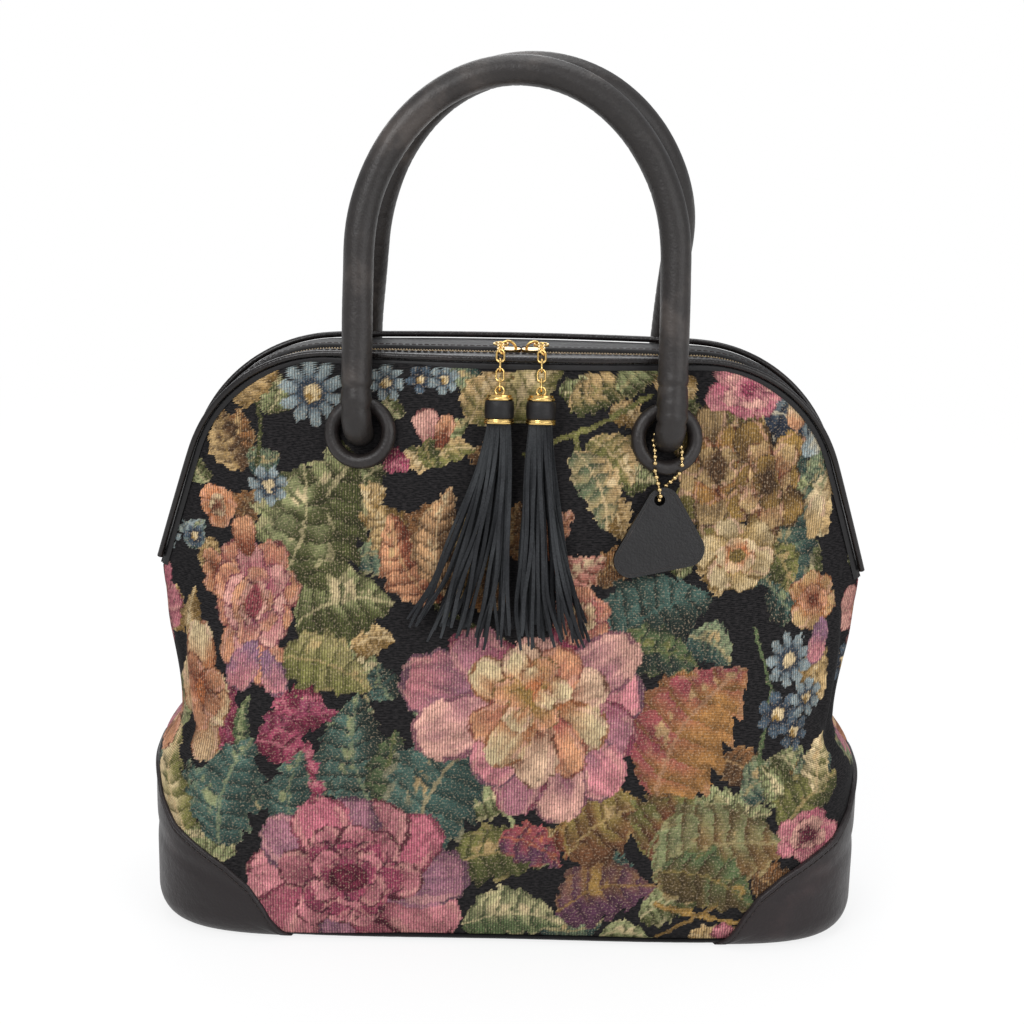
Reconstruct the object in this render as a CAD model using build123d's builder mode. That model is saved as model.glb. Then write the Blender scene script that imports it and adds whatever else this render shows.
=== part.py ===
from build123d import *
import os
from math import cos, pi, radians, sin, sqrt, tan

os.makedirs("parts", exist_ok=True)

# A soft domed handbag with two tube handles, a two-way zip, two tassel pulls and a tag.
# Millimetres. The origin is the centre of the base on the floor: X to the right, the front at -Y, Z up.

# Soft body
BASE_WIDTH = 376
BASE_DEPTH = 140
WAIST_WIDTH = 350
EAR_WIDTH = 374
CROWN_WIDTH = 398
TOP_CORNER_WIDTH = 300
SHOULDER_RADIUS = 76
TOP_GUSSET_WIDTH = 56
CORNER_HEIGHT = 86
WAIST_HEIGHT = 111
EAR_HEIGHT = 187
BODY_HEIGHT = 307
RIM_HEIGHT = 14
RIM_INSET = 9
BULGE = 2.6
BASE_SQUARENESS = 7.5
BASE_ROUNDNESS = 2.9
EAR_SQUARENESS = 2.4
CROWN_SQUARENESS = 2
EAR_ROUNDNESS = 1

# Cloth and leather thicknesses
PANEL_WALL = 3.0
LINING_WALL = 1.0
BAND_WALL = 2.2
CORNER_LEATHER = 1.6
SEAM = 0.2
LINING_GAP = 0.9
LEATHER_GAP = 0.5
CLEARANCE = 0.3
BOARD_THICKNESS = 2.0
BOARD_MARGIN = 9

# Piping
PIPING_RADIUS = 1.6

# Zip
ZIP_END_HEIGHT = 236
ZIP_SLOT_WIDTH = 11
TEETH_WIDTH = 1.8
TEETH_GAP = 1.2
TEETH_HEIGHT = 1.6
TAPE_WIDTH = 9
TAPE_THICKNESS = 0.8
ZIP_TAB_LENGTH = 14
ZIP_TAB_THICKNESS = 1.4

# Sliders and their rings
SLIDER_MEETING_X = 3
SLIDER_LENGTH = 11
SLIDER_WIDTH = 8
SLIDER_PLATE = 1.4
SLIDER_WEDGE = 0.5
SLIDER_GAP = 0.6
BRIDGE_RADIUS = 4.2
BRIDGE_WIRE = 0.7
BRIDGE_PLACE = 4.4
PULL_RING_RADIUS = 3.6
PULL_RING_WIRE = 0.6

# Chains
WIRE_RADIUS = 0.55
LINK_LENGTH = 7.8
LINK_WIDTH = 5.0
LINK_ROUNDNESS = 0.98
LINKS_OVER = 5
CREST_TILT = 50
CHAIN_LEAN = 36
TASSEL_LEAN = 12.5
CAP_SHARE = 0.4
LINKS_HANGING = 3

# Tassels
CAP_RADIUS = 6.2
CAP_HEIGHT = 2.6
BARREL_RADIUS = 7.4
BARREL_HEIGHT = 9.6
COLLAR_RADIUS = 7.8
COLLAR_HEIGHT = 2.6
CAP_EYE_RADIUS = 2.2
FRINGE_LENGTH = 112
FRINGE_GAP = 5.0
LEFT_FRINGE_SPREAD = 27
RIGHT_FRINGE_SPREAD = 21
LEFT_FRINGE_DRIFT = -20
RIGHT_FRINGE_DRIFT = 12
FRINGE_HALF_DEPTH = 7
FRINGE_SECTIONS = 4

# Rings and handles
RING_SPACING = 155
RING_HEIGHT = 270
RING_RADIUS = 14.8
RING_WIRE = 3.8
NECK_RADIUS = 5.2
WASHER_RADIUS = 10.5
WASHER_THICKNESS = 1.6
HANDLE_RADIUS = 7.8
HANDLE_STAND_OFF = 11.2
KNUCKLE_LENGTH = 12
HANDLE_HEIGHT = 452
HANDLE_LEG_HEIGHT = 360
HANDLE_APEX_GAP = 2.4

# Tag
TAG_WIDTH = 52
TAG_HEIGHT = 48
TAG_THICKNESS = 2.6
TAG_CORNER = 9
TAG_APEX_X = 3
TAG_RIGHT_DROP = 14
TAG_LEFT_DROP = 26
TAG_HOLE_X = 1
TAG_HOLE_DROP = 6.5
TAG_HOLE_RADIUS = 2.9
TAG_CENTRE_X = 73
TAG_TOP_HEIGHT = 247
TAG_GAP = 3.4
BEAD_RADIUS = 1.15
BEAD_PITCH = 3.3
BEAD_WIRE = 0.45
PIN_GAP = 0.1
OVER_RING_REST = 0.88

# Corner leathers: where their seam crosses the front, from the middle line and the floor
SEAM_FOOT_X = 116
SEAM_KNEE_X = 127
SEAM_KNEE_HEIGHT = 22
SEAM_HIP_X = 148
SEAM_HIP_HEIGHT = 42
SEAM_SIDE_X = 178
SEAM_SIDE_HEIGHT = 62

FAR = 600


def ramp(value, low, high):
    """Return how far value has gone from low to high, held between 0 and 1."""
    return min(1.0, max(0.0, (value - low) / (high - low)))


def eased(value, low, high):
    """Return ramp() with a soft start and a soft end."""
    part = ramp(value, low, high)
    return part * part * (3 - 2 * part)


def mix(first, second, share):
    """Return the value that lies the given share of the way from first to second."""
    return first + (second - first) * share


def half_width(height):
    """Return the body's half width at a height, before the dome is cut from it."""
    if height < RIM_HEIGHT:
        return BASE_WIDTH / 2 - RIM_INSET * (1 - sqrt(1 - (1 - height / RIM_HEIGHT) ** 2))
    if height < WAIST_HEIGHT:
        return mix(BASE_WIDTH, WAIST_WIDTH, eased(height, CORNER_HEIGHT, WAIST_HEIGHT)) / 2
    if height < EAR_HEIGHT:
        return mix(WAIST_WIDTH, EAR_WIDTH, eased(height, WAIST_HEIGHT, EAR_HEIGHT)) / 2
    return mix(EAR_WIDTH, CROWN_WIDTH, ramp(height, EAR_HEIGHT, BODY_HEIGHT)) / 2


def half_depth(height):
    """Return the body's half depth on its middle line at a height."""
    sides = BASE_DEPTH - TOP_GUSSET_WIDTH
    depth = TOP_GUSSET_WIDTH / 2 + sides / 2 * (1 - (height / BODY_HEIGHT) ** BULGE)
    if height < RIM_HEIGHT:
        depth -= RIM_INSET * (1 - sqrt(1 - (1 - height / RIM_HEIGHT) ** 2))
    return depth


def squareness(height):
    """Return how square the body's ends are in plan at a height."""
    low = mix(BASE_SQUARENESS, EAR_SQUARENESS, ramp(height, CORNER_HEIGHT, EAR_HEIGHT))
    return mix(low, CROWN_SQUARENESS, ramp(height, EAR_HEIGHT, BODY_HEIGHT))


def roundness(height):
    """Return how round the ends are in plan: 1 gives the sharp ends of a lens."""
    return mix(BASE_ROUNDNESS, EAR_ROUNDNESS, ramp(height, CORNER_HEIGHT, EAR_HEIGHT))


def front_y(x, height):
    """Return where the front surface stands at a place across and a height."""
    share = min(1.0, abs(x) / half_width(height))
    return -half_depth(height) * (1 - share ** squareness(height)) ** (1 / roundness(height))


def front_normal(x, height):
    """Return the outward direction of the front surface."""
    step = 1.0
    across = (front_y(x + step, height) - front_y(x - step, height)) / (2 * step)
    up = (front_y(x, height + step) - front_y(x, height - step)) / (2 * step)
    return Vector(across, -1, up).normalized()


LEVELS = (
    [0, RIM_HEIGHT / 6, RIM_HEIGHT / 2, RIM_HEIGHT]
    + [CORNER_HEIGHT / 2, CORNER_HEIGHT, WAIST_HEIGHT]
    + [mix(WAIST_HEIGHT, EAR_HEIGHT, share / 3) for share in (1, 2, 3)]
    + [mix(EAR_HEIGHT, BODY_HEIGHT, share / 3) for share in (1, 2, 3)]
    + [BODY_HEIGHT + BASE_DEPTH / 10]
)
PLAN_POINTS = 14
POINTED_SHARE = 0.6


def plan_points(height, grow, side):
    """Return points along the front (-1) or back (1) of one level, from the left end to the right."""
    pointed = 1 + POINTED_SHARE * ramp(height, CORNER_HEIGHT, EAR_HEIGHT)
    width = half_width(height) + grow * pointed
    depth = half_depth(height) + grow
    points = []
    for index in range(PLAN_POINTS + 1):
        turn = pi * (1 - index / PLAN_POINTS)
        across = abs(cos(turn)) ** (2 / squareness(height))
        out = sin(turn) ** (2 / roundness(height))
        if index in (0, PLAN_POINTS):
            across, out = 1, 0
        x = width * across * (1 if cos(turn) > 0 else -1)
        points.append((x, side * depth * out))
    return points


def soft_body(grow):
    """Return the soft body's solid, grown (or shrunk) by an even thickness, floor included."""
    with BuildPart() as solid:
        for height in LEVELS:
            lift = grow * ramp(height, RIM_HEIGHT, 0)
            with BuildSketch(Plane.XY.offset(height - min(lift, 0))):
                with BuildLine():
                    Spline(*plan_points(height, grow, -1))
                    Spline(*plan_points(height, grow, 1))
                make_face()
        loft()
    return solid.part


def dome(inset, front=-FAR, back=FAR):
    """Return the block under the dome's outline, between two places front to back."""
    ear, top = EAR_WIDTH / 2, TOP_CORNER_WIDTH / 2
    out = ear + (ear - top)
    low = EAR_HEIGHT - (BODY_HEIGHT - EAR_HEIGHT)
    with BuildPart() as block:
        with BuildSketch(Plane.XZ.offset(-back)):
            with BuildLine():
                Polyline(
                    (out, low),
                    (top, BODY_HEIGHT),
                    (-top, BODY_HEIGHT),
                    (-out, low),
                    (-out, -RIM_HEIGHT),
                    (out, -RIM_HEIGHT),
                    close=True,
                )
            outline = make_face()
            fillet(outline.vertices().group_by(Axis.Y)[-1], SHOULDER_RADIUS)
            if inset:
                offset(amount=-inset, kind=Kind.INTERSECTION, mode=Mode.REPLACE)
        extrude(amount=back - front)
    return block.part


def slab(low, high, y_low=-FAR, y_high=FAR, x_low=-FAR, x_high=FAR):
    """Return a plain block between two heights."""
    with BuildPart() as block:
        with BuildSketch(Plane.XY.offset(low)):
            with Locations(((x_low + x_high) / 2, (y_low + y_high) / 2)):
                Rectangle(x_high - x_low, y_high - y_low)
        extrude(amount=high - low)
    return block.part


def seat(x, height, lift):
    """Return the plane that lies on the front surface, lifted off it along its normal."""
    normal = front_normal(x, height)
    foot = Vector(x, front_y(x, height), height)
    return Plane(origin=foot + normal * lift, x_dir=(1, 0, 0), z_dir=normal)


OUTER = soft_body(0)
PANEL_INSIDE = soft_body(-PANEL_WALL)
LINING_OUTSIDE = soft_body(-PANEL_WALL - LINING_GAP)
LINING_INSIDE = soft_body(-PANEL_WALL - LINING_GAP - LINING_WALL)
PANEL_DOME = dome(BAND_WALL + SEAM)

# Handle necks go through the panels and the lining at the four rings
RING_X = RING_SPACING / 2
NECK_SEAT = seat(RING_X, RING_HEIGHT, 0)
RING_LIFT = RING_WIRE + CLEARANCE
INSIDE_DEPTH = PANEL_WALL + LINING_WALL + LINING_GAP


def four_times(part):
    """Return a right front piece as four: front right, front left, back right, back left."""
    left = part.mirror(Plane.YZ)
    return part, left, part.mirror(Plane.XZ), left.mirror(Plane.XZ)


with BuildPart() as neck_hole:
    with BuildSketch(NECK_SEAT.offset(-INSIDE_DEPTH * 2)):
        Circle(NECK_RADIUS + CLEARANCE)
    extrude(amount=INSIDE_DEPTH * 3)
NECK_HOLES = four_times(neck_hole.part)

# Front and back panels, with their side seams at mid depth
with BuildPart() as front_panel:
    add(OUTER)
    add(PANEL_INSIDE, mode=Mode.SUBTRACT)
    add(slab(PANEL_WALL, FAR, y_high=-SEAM / 2), mode=Mode.INTERSECT)
    add(PANEL_DOME, mode=Mode.INTERSECT)
    for hole in NECK_HOLES[:2]:
        add(hole, mode=Mode.SUBTRACT)
front_panel.part.label = "front_panel"
export_step(front_panel.part, "parts/front_panel.step")

with BuildPart() as back_panel:
    add(front_panel.part.mirror(Plane.XZ))
back_panel.part.label = "back_panel"
export_step(back_panel.part, "parts/back_panel.step")

# Base panel, and the stiff board that lies on it inside
with BuildPart() as base_panel:
    add(OUTER)
    add(slab(0, PANEL_WALL - SEAM), mode=Mode.INTERSECT)
base_panel.part.label = "base_panel"
export_step(base_panel.part, "parts/base_panel.step")

with BuildPart() as lining:
    add(LINING_OUTSIDE)
    add(LINING_INSIDE, mode=Mode.SUBTRACT)
    add(dome(BAND_WALL + PANEL_WALL), mode=Mode.INTERSECT)
    for hole in NECK_HOLES:
        add(hole, mode=Mode.SUBTRACT)
lining.part.label = "lining"
export_step(lining.part, "parts/lining.step")

with BuildPart() as base_board:
    board_floor = INSIDE_DEPTH + SEAM
    with BuildSketch(Plane.XY.offset(board_floor)):
        board_width = BASE_WIDTH - 2 * (RIM_INSET + INSIDE_DEPTH + BOARD_MARGIN)
        board_depth = BASE_DEPTH - 2 * (RIM_INSET + INSIDE_DEPTH + BOARD_MARGIN)
        RectangleRounded(board_width, board_depth, BOARD_MARGIN)
    extrude(amount=BOARD_THICKNESS)
base_board.part.label = "base_board"
export_step(base_board.part, "parts/base_board.step")

# Leather bottom corners, over the cloth
LEATHER_INSIDE = soft_body(LEATHER_GAP)
LEATHER_OUTSIDE = soft_body(LEATHER_GAP + CORNER_LEATHER)
with BuildPart() as corner_region:
    with BuildSketch(Plane.XZ.offset(-BASE_DEPTH)):
        with BuildLine():
            edge = Spline(
                (SEAM_FOOT_X, SEAM),
                (SEAM_KNEE_X, SEAM_KNEE_HEIGHT),
                (SEAM_HIP_X, SEAM_HIP_HEIGHT),
                (SEAM_SIDE_X, SEAM_SIDE_HEIGHT),
                (BASE_WIDTH / 2 + CORNER_LEATHER * 4, CORNER_HEIGHT),
            )
            Polyline(edge @ 1, (FAR, CORNER_HEIGHT), (FAR, SEAM), edge @ 0)
        make_face()
    extrude(amount=2 * BASE_DEPTH)
with BuildPart() as right_corner:
    add(LEATHER_OUTSIDE)
    add(LEATHER_INSIDE, mode=Mode.SUBTRACT)
    add(corner_region.part, mode=Mode.INTERSECT)
right_corner.part.label = "right_corner"
export_step(right_corner.part, "parts/right_corner.step")

with BuildPart() as left_corner:
    add(right_corner.part.mirror(Plane.YZ))
left_corner.part.label = "left_corner"
export_step(left_corner.part, "parts/left_corner.step")

# Leather top band either side of the zip, from the front panel's edge to the back panel's
ZIP_HALF_SLOT = ZIP_SLOT_WIDTH / 2


def dome_strip(top_inset, thickness, front, back, low=EAR_HEIGHT + PIPING_RADIUS):
    """Return a strip that follows the dome, its top this far under the outline."""
    with BuildPart() as strip:
        add(dome(top_inset, front, back))
        add(dome(top_inset + thickness), mode=Mode.SUBTRACT)
        add(slab(low, FAR), mode=Mode.INTERSECT)
    return strip.part


with BuildPart() as front_zip_band:
    add(OUTER)
    add(dome_strip(0, BAND_WALL, -BASE_DEPTH, -SEAM / 2), mode=Mode.INTERSECT)
    add(dome_strip(-BAND_WALL, 2 * BAND_WALL + SEAM, -ZIP_HALF_SLOT, 0, ZIP_END_HEIGHT), mode=Mode.SUBTRACT)
front_zip_band.part.label = "front_zip_band"
export_step(front_zip_band.part, "parts/front_zip_band.step")

with BuildPart() as back_zip_band:
    add(front_zip_band.part.mirror(Plane.XZ))
back_zip_band.part.label = "back_zip_band"
export_step(back_zip_band.part, "parts/back_zip_band.step")

# Zip tapes under the band's two edges, and the rows of teeth on them
TAPE_TOP = BAND_WALL + SEAM
TEETH_NEAR = TEETH_GAP / 2
with BuildPart() as front_zip_tape:
    add(dome_strip(TAPE_TOP, TAPE_THICKNESS, -TAPE_WIDTH, -TEETH_NEAR, ZIP_END_HEIGHT - SEAM))
    add(OUTER, mode=Mode.INTERSECT)
front_zip_tape.part.label = "front_zip_tape"
export_step(front_zip_tape.part, "parts/front_zip_tape.step")

with BuildPart() as back_zip_tape:
    add(front_zip_tape.part.mirror(Plane.XZ))
back_zip_tape.part.label = "back_zip_tape"
export_step(back_zip_tape.part, "parts/back_zip_tape.step")

with BuildPart() as front_zip_teeth:
    add(dome_strip(TAPE_TOP - TEETH_HEIGHT, TEETH_HEIGHT, -TEETH_NEAR - TEETH_WIDTH, -TEETH_NEAR, ZIP_END_HEIGHT))
front_zip_teeth.part.label = "front_zip_teeth"
export_step(front_zip_teeth.part, "parts/front_zip_teeth.step")

with BuildPart() as back_zip_teeth:
    add(front_zip_teeth.part.mirror(Plane.XZ))
back_zip_teeth.part.label = "back_zip_teeth"
export_step(back_zip_teeth.part, "parts/back_zip_teeth.step")

# Leather tabs over the two ends of the zip
with BuildPart() as zip_end_tabs:
    tab_low = ZIP_END_HEIGHT - ZIP_TAB_LENGTH / 2
    add(dome_strip(-SEAM - ZIP_TAB_THICKNESS, ZIP_TAB_THICKNESS, -ZIP_HALF_SLOT, ZIP_HALF_SLOT, tab_low))
    add(slab(-FAR, tab_low + ZIP_TAB_LENGTH), mode=Mode.INTERSECT)
zip_end_tabs.part.label = "zip_end_tabs"
export_step(zip_end_tabs.part, "parts/zip_end_tabs.step")

# Piping along the edge between panel and band, ending just short of the side ears
PIPING_LIFT = PIPING_RADIUS + CLEARANCE + SEAM
PIPING_POINTS = 22


def dome_curve():
    """Return the dome's right outline as a wire in the front view, from the ear to the middle."""
    with BuildLine() as line:
        FilletPolyline(
            (EAR_WIDTH / 2, EAR_HEIGHT),
            (TOP_CORNER_WIDTH / 2, BODY_HEIGHT),
            (0, BODY_HEIGHT),
            radius=SHOULDER_RADIUS,
        )
    return line.wire()


def rim_point(curve, share):
    """Return the piping's centre at a share of the way from the ear to the middle."""
    place, along = curve.position_at(share), curve.tangent_at(share)
    out = Vector(along.Y, -along.X, 0)
    corner = Vector(place.X, front_y(place.X, place.Y), place.Y)
    away = (Vector(out.X, 0, out.Y) + front_normal(place.X, place.Y)).normalized()
    return corner + away * PIPING_LIFT


def corner_radius(before, corner, after):
    """Return the largest radius that the two runs beside a corner leave room for."""
    shorter = min((corner - before).length, (after - corner).length)
    turn = radians((corner - before).get_angle(after - corner))
    return 0.45 * shorter / tan(turn / 2)


curve = dome_curve()
first = 0.0
while rim_point(curve, first).Y > -PIPING_LIFT:
    first += 0.004
right_rim = [rim_point(curve, mix(first, 1, index / PIPING_POINTS)) for index in range(PIPING_POINTS)]
rim = right_rim + [rim_point(curve, 1)] + [Vector(-p.X, p.Y, p.Z) for p in reversed(right_rim)]
with BuildPart() as front_piping:
    with BuildLine() as rim_line:
        FilletPolyline(*rim, radius=[corner_radius(*rim[at - 1 : at + 2]) for at in range(1, len(rim) - 1)])
    with BuildSketch(Plane(origin=rim_line.line @ 0, z_dir=rim_line.line % 0)):
        Circle(PIPING_RADIUS)
    sweep()
front_piping.part.label = "front_piping"
export_step(front_piping.part, "parts/front_piping.step")

with BuildPart() as back_piping:
    add(front_piping.part.mirror(Plane.XZ))
back_piping.part.label = "back_piping"
export_step(back_piping.part, "parts/back_piping.step")

# Leather covered rings on the panels, and the handle necks with their inner discs
PLACES = ("front_right", "front_left", "back_right", "back_left")
RING_SEAT = seat(RING_X, RING_HEIGHT, RING_LIFT)
with BuildPart() as handle_ring:
    with Locations(RING_SEAT):
        Torus(RING_RADIUS, RING_WIRE)
for place, ring in zip(PLACES, four_times(handle_ring.part)):
    ring.label = place + "_ring"
    export_step(ring, "parts/" + place + "_ring.step")

NECK_TOP = RING_LIFT + HANDLE_STAND_OFF - HANDLE_RADIUS - CLEARANCE * 4
WASHER_TOP = -INSIDE_DEPTH - CLEARANCE * 2
with BuildPart() as handle_neck:
    with BuildSketch(NECK_SEAT.offset(WASHER_TOP - WASHER_THICKNESS)):
        Circle(WASHER_RADIUS)
    extrude(amount=WASHER_THICKNESS)
    with BuildSketch(NECK_SEAT.offset(WASHER_TOP)):
        Circle(NECK_RADIUS)
    extrude(amount=NECK_TOP - WASHER_TOP)
for place, neck in zip(PLACES, four_times(handle_neck.part)):
    neck.label = place + "_neck"
    export_step(neck, "parts/" + place + "_neck.step")

# Handles: round leather tubes with a round knuckle in front of each ring, leaning in to meet over the zip
HINGE = RING_SEAT.origin + RING_SEAT.z_dir * HANDLE_STAND_OFF
APEX_Y = -HANDLE_RADIUS - HANDLE_APEX_GAP / 2
HANDLE_RISE = Vector(0, APEX_Y - HINGE.Y, HANDLE_HEIGHT - HINGE.Z)
LEG_SHARE = (HANDLE_LEG_HEIGHT - HINGE.Z) / (HANDLE_HEIGHT - HINGE.Z)
HANDLE_PLANE = Plane(
    origin=(0, HINGE.Y, HINGE.Z),
    x_dir=(1, 0, 0),
    z_dir=Vector(1, 0, 0).cross(HANDLE_RISE.normalized()),
)
with BuildPart() as front_handle:
    leg = HANDLE_RISE.length * LEG_SHARE
    with BuildLine(HANDLE_PLANE) as handle_line:
        right_leg = Line((HINGE.X, 0), (HINGE.X, leg))
        EllipticalCenterArc((0, leg), HINGE.X, HANDLE_RISE.length - leg, start_angle=0, arc_size=180)
        Line((-HINGE.X, leg), (-HINGE.X, 0))
    with BuildSketch(Plane(origin=right_leg @ 0, z_dir=right_leg % 0)):
        Circle(HANDLE_RADIUS)
    sweep()
    for side in (1, -1):
        with Locations(Plane(origin=(side * HINGE.X, HINGE.Y, HINGE.Z), z_dir=(1, 0, 0))):
            Cylinder(HANDLE_RADIUS, KNUCKLE_LENGTH)
front_handle.part.label = "front_handle"
export_step(front_handle.part, "parts/front_handle.step")

with BuildPart() as back_handle:
    add(front_handle.part.mirror(Plane.XZ))
back_handle.part.label = "back_handle"
export_step(back_handle.part, "parts/back_handle.step")


def write(part, name):
    """Label a finished piece and write it."""
    part.label = name
    export_step(part, "parts/" + name + ".step")


def link(centre, along, flat):
    """Return one wire link: its long way along a direction, lying in the plane that flat is square to."""
    long_half = LINK_LENGTH / 2 - WIRE_RADIUS
    wide_half = LINK_WIDTH / 2 - WIRE_RADIUS
    with BuildPart() as part:
        with BuildLine(Plane(origin=centre, x_dir=along, z_dir=flat)) as loop:
            FilletPolyline(
                (long_half, -wide_half),
                (long_half, wide_half),
                (-long_half, wide_half),
                (-long_half, -wide_half),
                close=True,
                radius=wide_half * LINK_ROUNDNESS,
            )
        with BuildSketch(Plane(origin=loop.line @ 0, z_dir=loop.line % 0)):
            Circle(WIRE_RADIUS)
        sweep()
    return part.part


# Sliders: a plate over the teeth and one under the tape, joined by the wedge between the rows
PLATE_FLOOR = BODY_HEIGHT - TAPE_TOP + TEETH_HEIGHT + CLEARANCE
PLATE_TOP = PLATE_FLOOR + SLIDER_PLATE
LOWER_TOP = BODY_HEIGHT - TAPE_TOP - TAPE_THICKNESS - CLEARANCE
HOOK = 2 * WIRE_RADIUS + CLEARANCE
PITCH = LINK_LENGTH - 2 * WIRE_RADIUS - HOOK
LINK_HALF = LINK_LENGTH / 2 - WIRE_RADIUS
SIDEWAYS = Vector(1, 0, 0)


def slider(side):
    """Return a slider's body, its ring, and where the ring's middle is: side is -1 for the left."""
    middle = SLIDER_MEETING_X + side * (SLIDER_GAP + SLIDER_LENGTH) / 2
    bridge = middle + side * (SLIDER_LENGTH / 2 - BRIDGE_PLACE)
    with BuildPart() as body:
        with BuildSketch(Plane.XY.offset(PLATE_FLOOR)):
            with Locations((middle, 0)):
                Ellipse(SLIDER_LENGTH / 2, SLIDER_WIDTH / 2)
        extrude(amount=SLIDER_PLATE)
        with BuildSketch(Plane.XY.offset(LOWER_TOP - SLIDER_PLATE)):
            with Locations((middle, 0)):
                Ellipse(SLIDER_LENGTH / 2, SLIDER_WIDTH / 2)
        extrude(amount=SLIDER_PLATE)
        with BuildSketch(Plane.XY.offset(LOWER_TOP - SLIDER_PLATE / 2)):
            with Locations((middle, 0)):
                Rectangle(SLIDER_LENGTH / 2, SLIDER_WEDGE)
        extrude(amount=PLATE_TOP - LOWER_TOP)
        with Locations(Plane(origin=(bridge, 0, PLATE_TOP - BRIDGE_WIRE / 2), x_dir=(1, 0, 0), z_dir=(0, 1, 0))):
            Torus(
                BRIDGE_RADIUS,
                BRIDGE_WIRE,
                major_angle=180,
                rotation=(0, 0, 180),
                align=(Align.CENTER, Align.MIN, Align.CENTER),
            )
    ring_middle = Vector(bridge + side * PULL_RING_RADIUS, 0, PLATE_TOP + BRIDGE_RADIUS - BRIDGE_WIRE - PULL_RING_WIRE * 2)
    with BuildPart() as ring:
        with Locations(ring_middle):
            Torus(PULL_RING_RADIUS, PULL_RING_WIRE)
    return body.part, ring.part, ring_middle


# The chain runs from the ring across the band, over the piping, and hangs in front of the panel
CREST = rim_point(curve, 1)
CREST_OVER = PIPING_RADIUS + WIRE_RADIUS + CLEARANCE * 5
TILT = radians(CREST_TILT)
DOWN = Vector(0, -cos(TILT), -sin(TILT))
CREST_LINK = CREST + Vector(0, -sin(TILT), cos(TILT)) * CREST_OVER
CREST_UPPER = CREST_LINK - DOWN * (LINK_HALF - HOOK)
HINGE_WIRE = CREST_LINK + DOWN * LINK_HALF


def chain_over(ring_middle):
    """Return the links between a slider's ring and the piping's crest, the last one tilted over it."""
    start = ring_middle + Vector(0, -PULL_RING_RADIUS + HOOK, 0)
    end = Vector(ring_middle.X, CREST_UPPER.Y, CREST_UPPER.Z)
    along = (end - start).normalized()
    step = ((end - start).length - 2 * LINK_HALF) / (LINKS_OVER - 1)
    upright = along.cross(SIDEWAYS)
    with BuildPart() as part:
        for index in range(LINKS_OVER):
            centre = start + along * (LINK_HALF + index * step)
            flat = SIDEWAYS + upright if index % 2 == 0 else SIDEWAYS - upright
            add(link(centre, along, flat.normalized()))
        add(link(Vector(ring_middle.X, CREST_LINK.Y, CREST_LINK.Z), DOWN, DOWN.cross(SIDEWAYS)))
    return part.part


# Tassel: links, cap, barrel and collar in line, then the fringe spreading down the panel
CAP_TOP_Z = HINGE_WIRE.Z - PITCH * (LINKS_HANGING + CAP_SHARE) * cos(radians(CHAIN_LEAN))
CAP_TOP_Y = HINGE_WIRE.Y - PITCH * (LINKS_HANGING + CAP_SHARE) * sin(radians(CHAIN_LEAN))
HANG = Vector(0, -sin(radians(CHAIN_LEAN)), -cos(radians(CHAIN_LEAN)))
LEAN = Vector(0, -sin(radians(TASSEL_LEAN)), -cos(radians(TASSEL_LEAN)))


def hanging_links(x):
    """Return the links that hang below the crest, and the eye that the cap hangs by."""
    with BuildPart() as part:
        for index in range(LINKS_HANGING):
            centre = HINGE_WIRE + HANG * (LINK_HALF - HOOK + index * PITCH)
            flat = SIDEWAYS if index % 2 == 0 else HANG.cross(SIDEWAYS)
            add(link(Vector(x, centre.Y, centre.Z), HANG, flat))
    return part.part


def tassel_piece(x, start, height, radius, eye=0):
    """Return one round piece of the tassel, this far down from the top of the cap."""
    top = Vector(x, CAP_TOP_Y, CAP_TOP_Z) + LEAN * start
    with BuildPart() as part:
        with BuildSketch(Plane(origin=top, x_dir=(1, 0, 0), z_dir=LEAN)):
            Circle(radius)
        extrude(amount=height)
        if eye:
            centre = Vector(x, CAP_TOP_Y, CAP_TOP_Z) - HANG * eye
            with Locations(Plane(origin=centre, x_dir=HANG, z_dir=HANG.cross(SIDEWAYS))):
                Torus(eye, WIRE_RADIUS)
    return part.part


def fringe(x, spread, drift):
    """Return the fringe as one soft solid that follows the front panel down."""
    top = Vector(x, CAP_TOP_Y, CAP_TOP_Z) + LEAN * (CAP_HEIGHT + BARREL_HEIGHT + COLLAR_HEIGHT)
    top_half = COLLAR_RADIUS - CLEARANCE
    first_height = top.Z - COLLAR_RADIUS * sin(radians(TASSEL_LEAN)) - CLEARANCE
    with BuildPart() as part:
        for index in range(FRINGE_SECTIONS + 1):
            share = index / FRINGE_SECTIONS
            height = first_height - FRINGE_LENGTH * share
            half_out = mix(top_half, FRINGE_HALF_DEPTH, share)
            seat_y = -half_depth(height) - FRINGE_GAP - half_out
            middle_y = mix(top.Y, seat_y, ramp(share, 0, 1 / FRINGE_SECTIONS))
            with BuildSketch(Plane.XY.offset(height)):
                with Locations((x + drift * share, middle_y)):
                    Ellipse(mix(top_half, spread, share), half_out)
        loft()
    return part.part


SIDES = (
    ("left", -1, LEFT_FRINGE_SPREAD, LEFT_FRINGE_DRIFT),
    ("right", 1, RIGHT_FRINGE_SPREAD, RIGHT_FRINGE_DRIFT),
)
for name, side, spread, drift in SIDES:
    body, ring, ring_middle = slider(side)
    write(body, name + "_slider")
    write(ring, name + "_pull_ring")
    write(chain_over(ring_middle), name + "_chain")
    write(hanging_links(ring_middle.X), name + "_tassel_chain")
    write(tassel_piece(ring_middle.X, 0, CAP_HEIGHT, CAP_RADIUS, CAP_EYE_RADIUS), name + "_tassel_cap")
    write(tassel_piece(ring_middle.X, CAP_HEIGHT, BARREL_HEIGHT, BARREL_RADIUS), name + "_tassel_barrel")
    collar_start = CAP_HEIGHT + BARREL_HEIGHT
    write(tassel_piece(ring_middle.X, collar_start, COLLAR_HEIGHT, COLLAR_RADIUS), name + "_tassel_collar")
    write(fringe(ring_middle.X, spread, drift), name + "_fringe")

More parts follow.
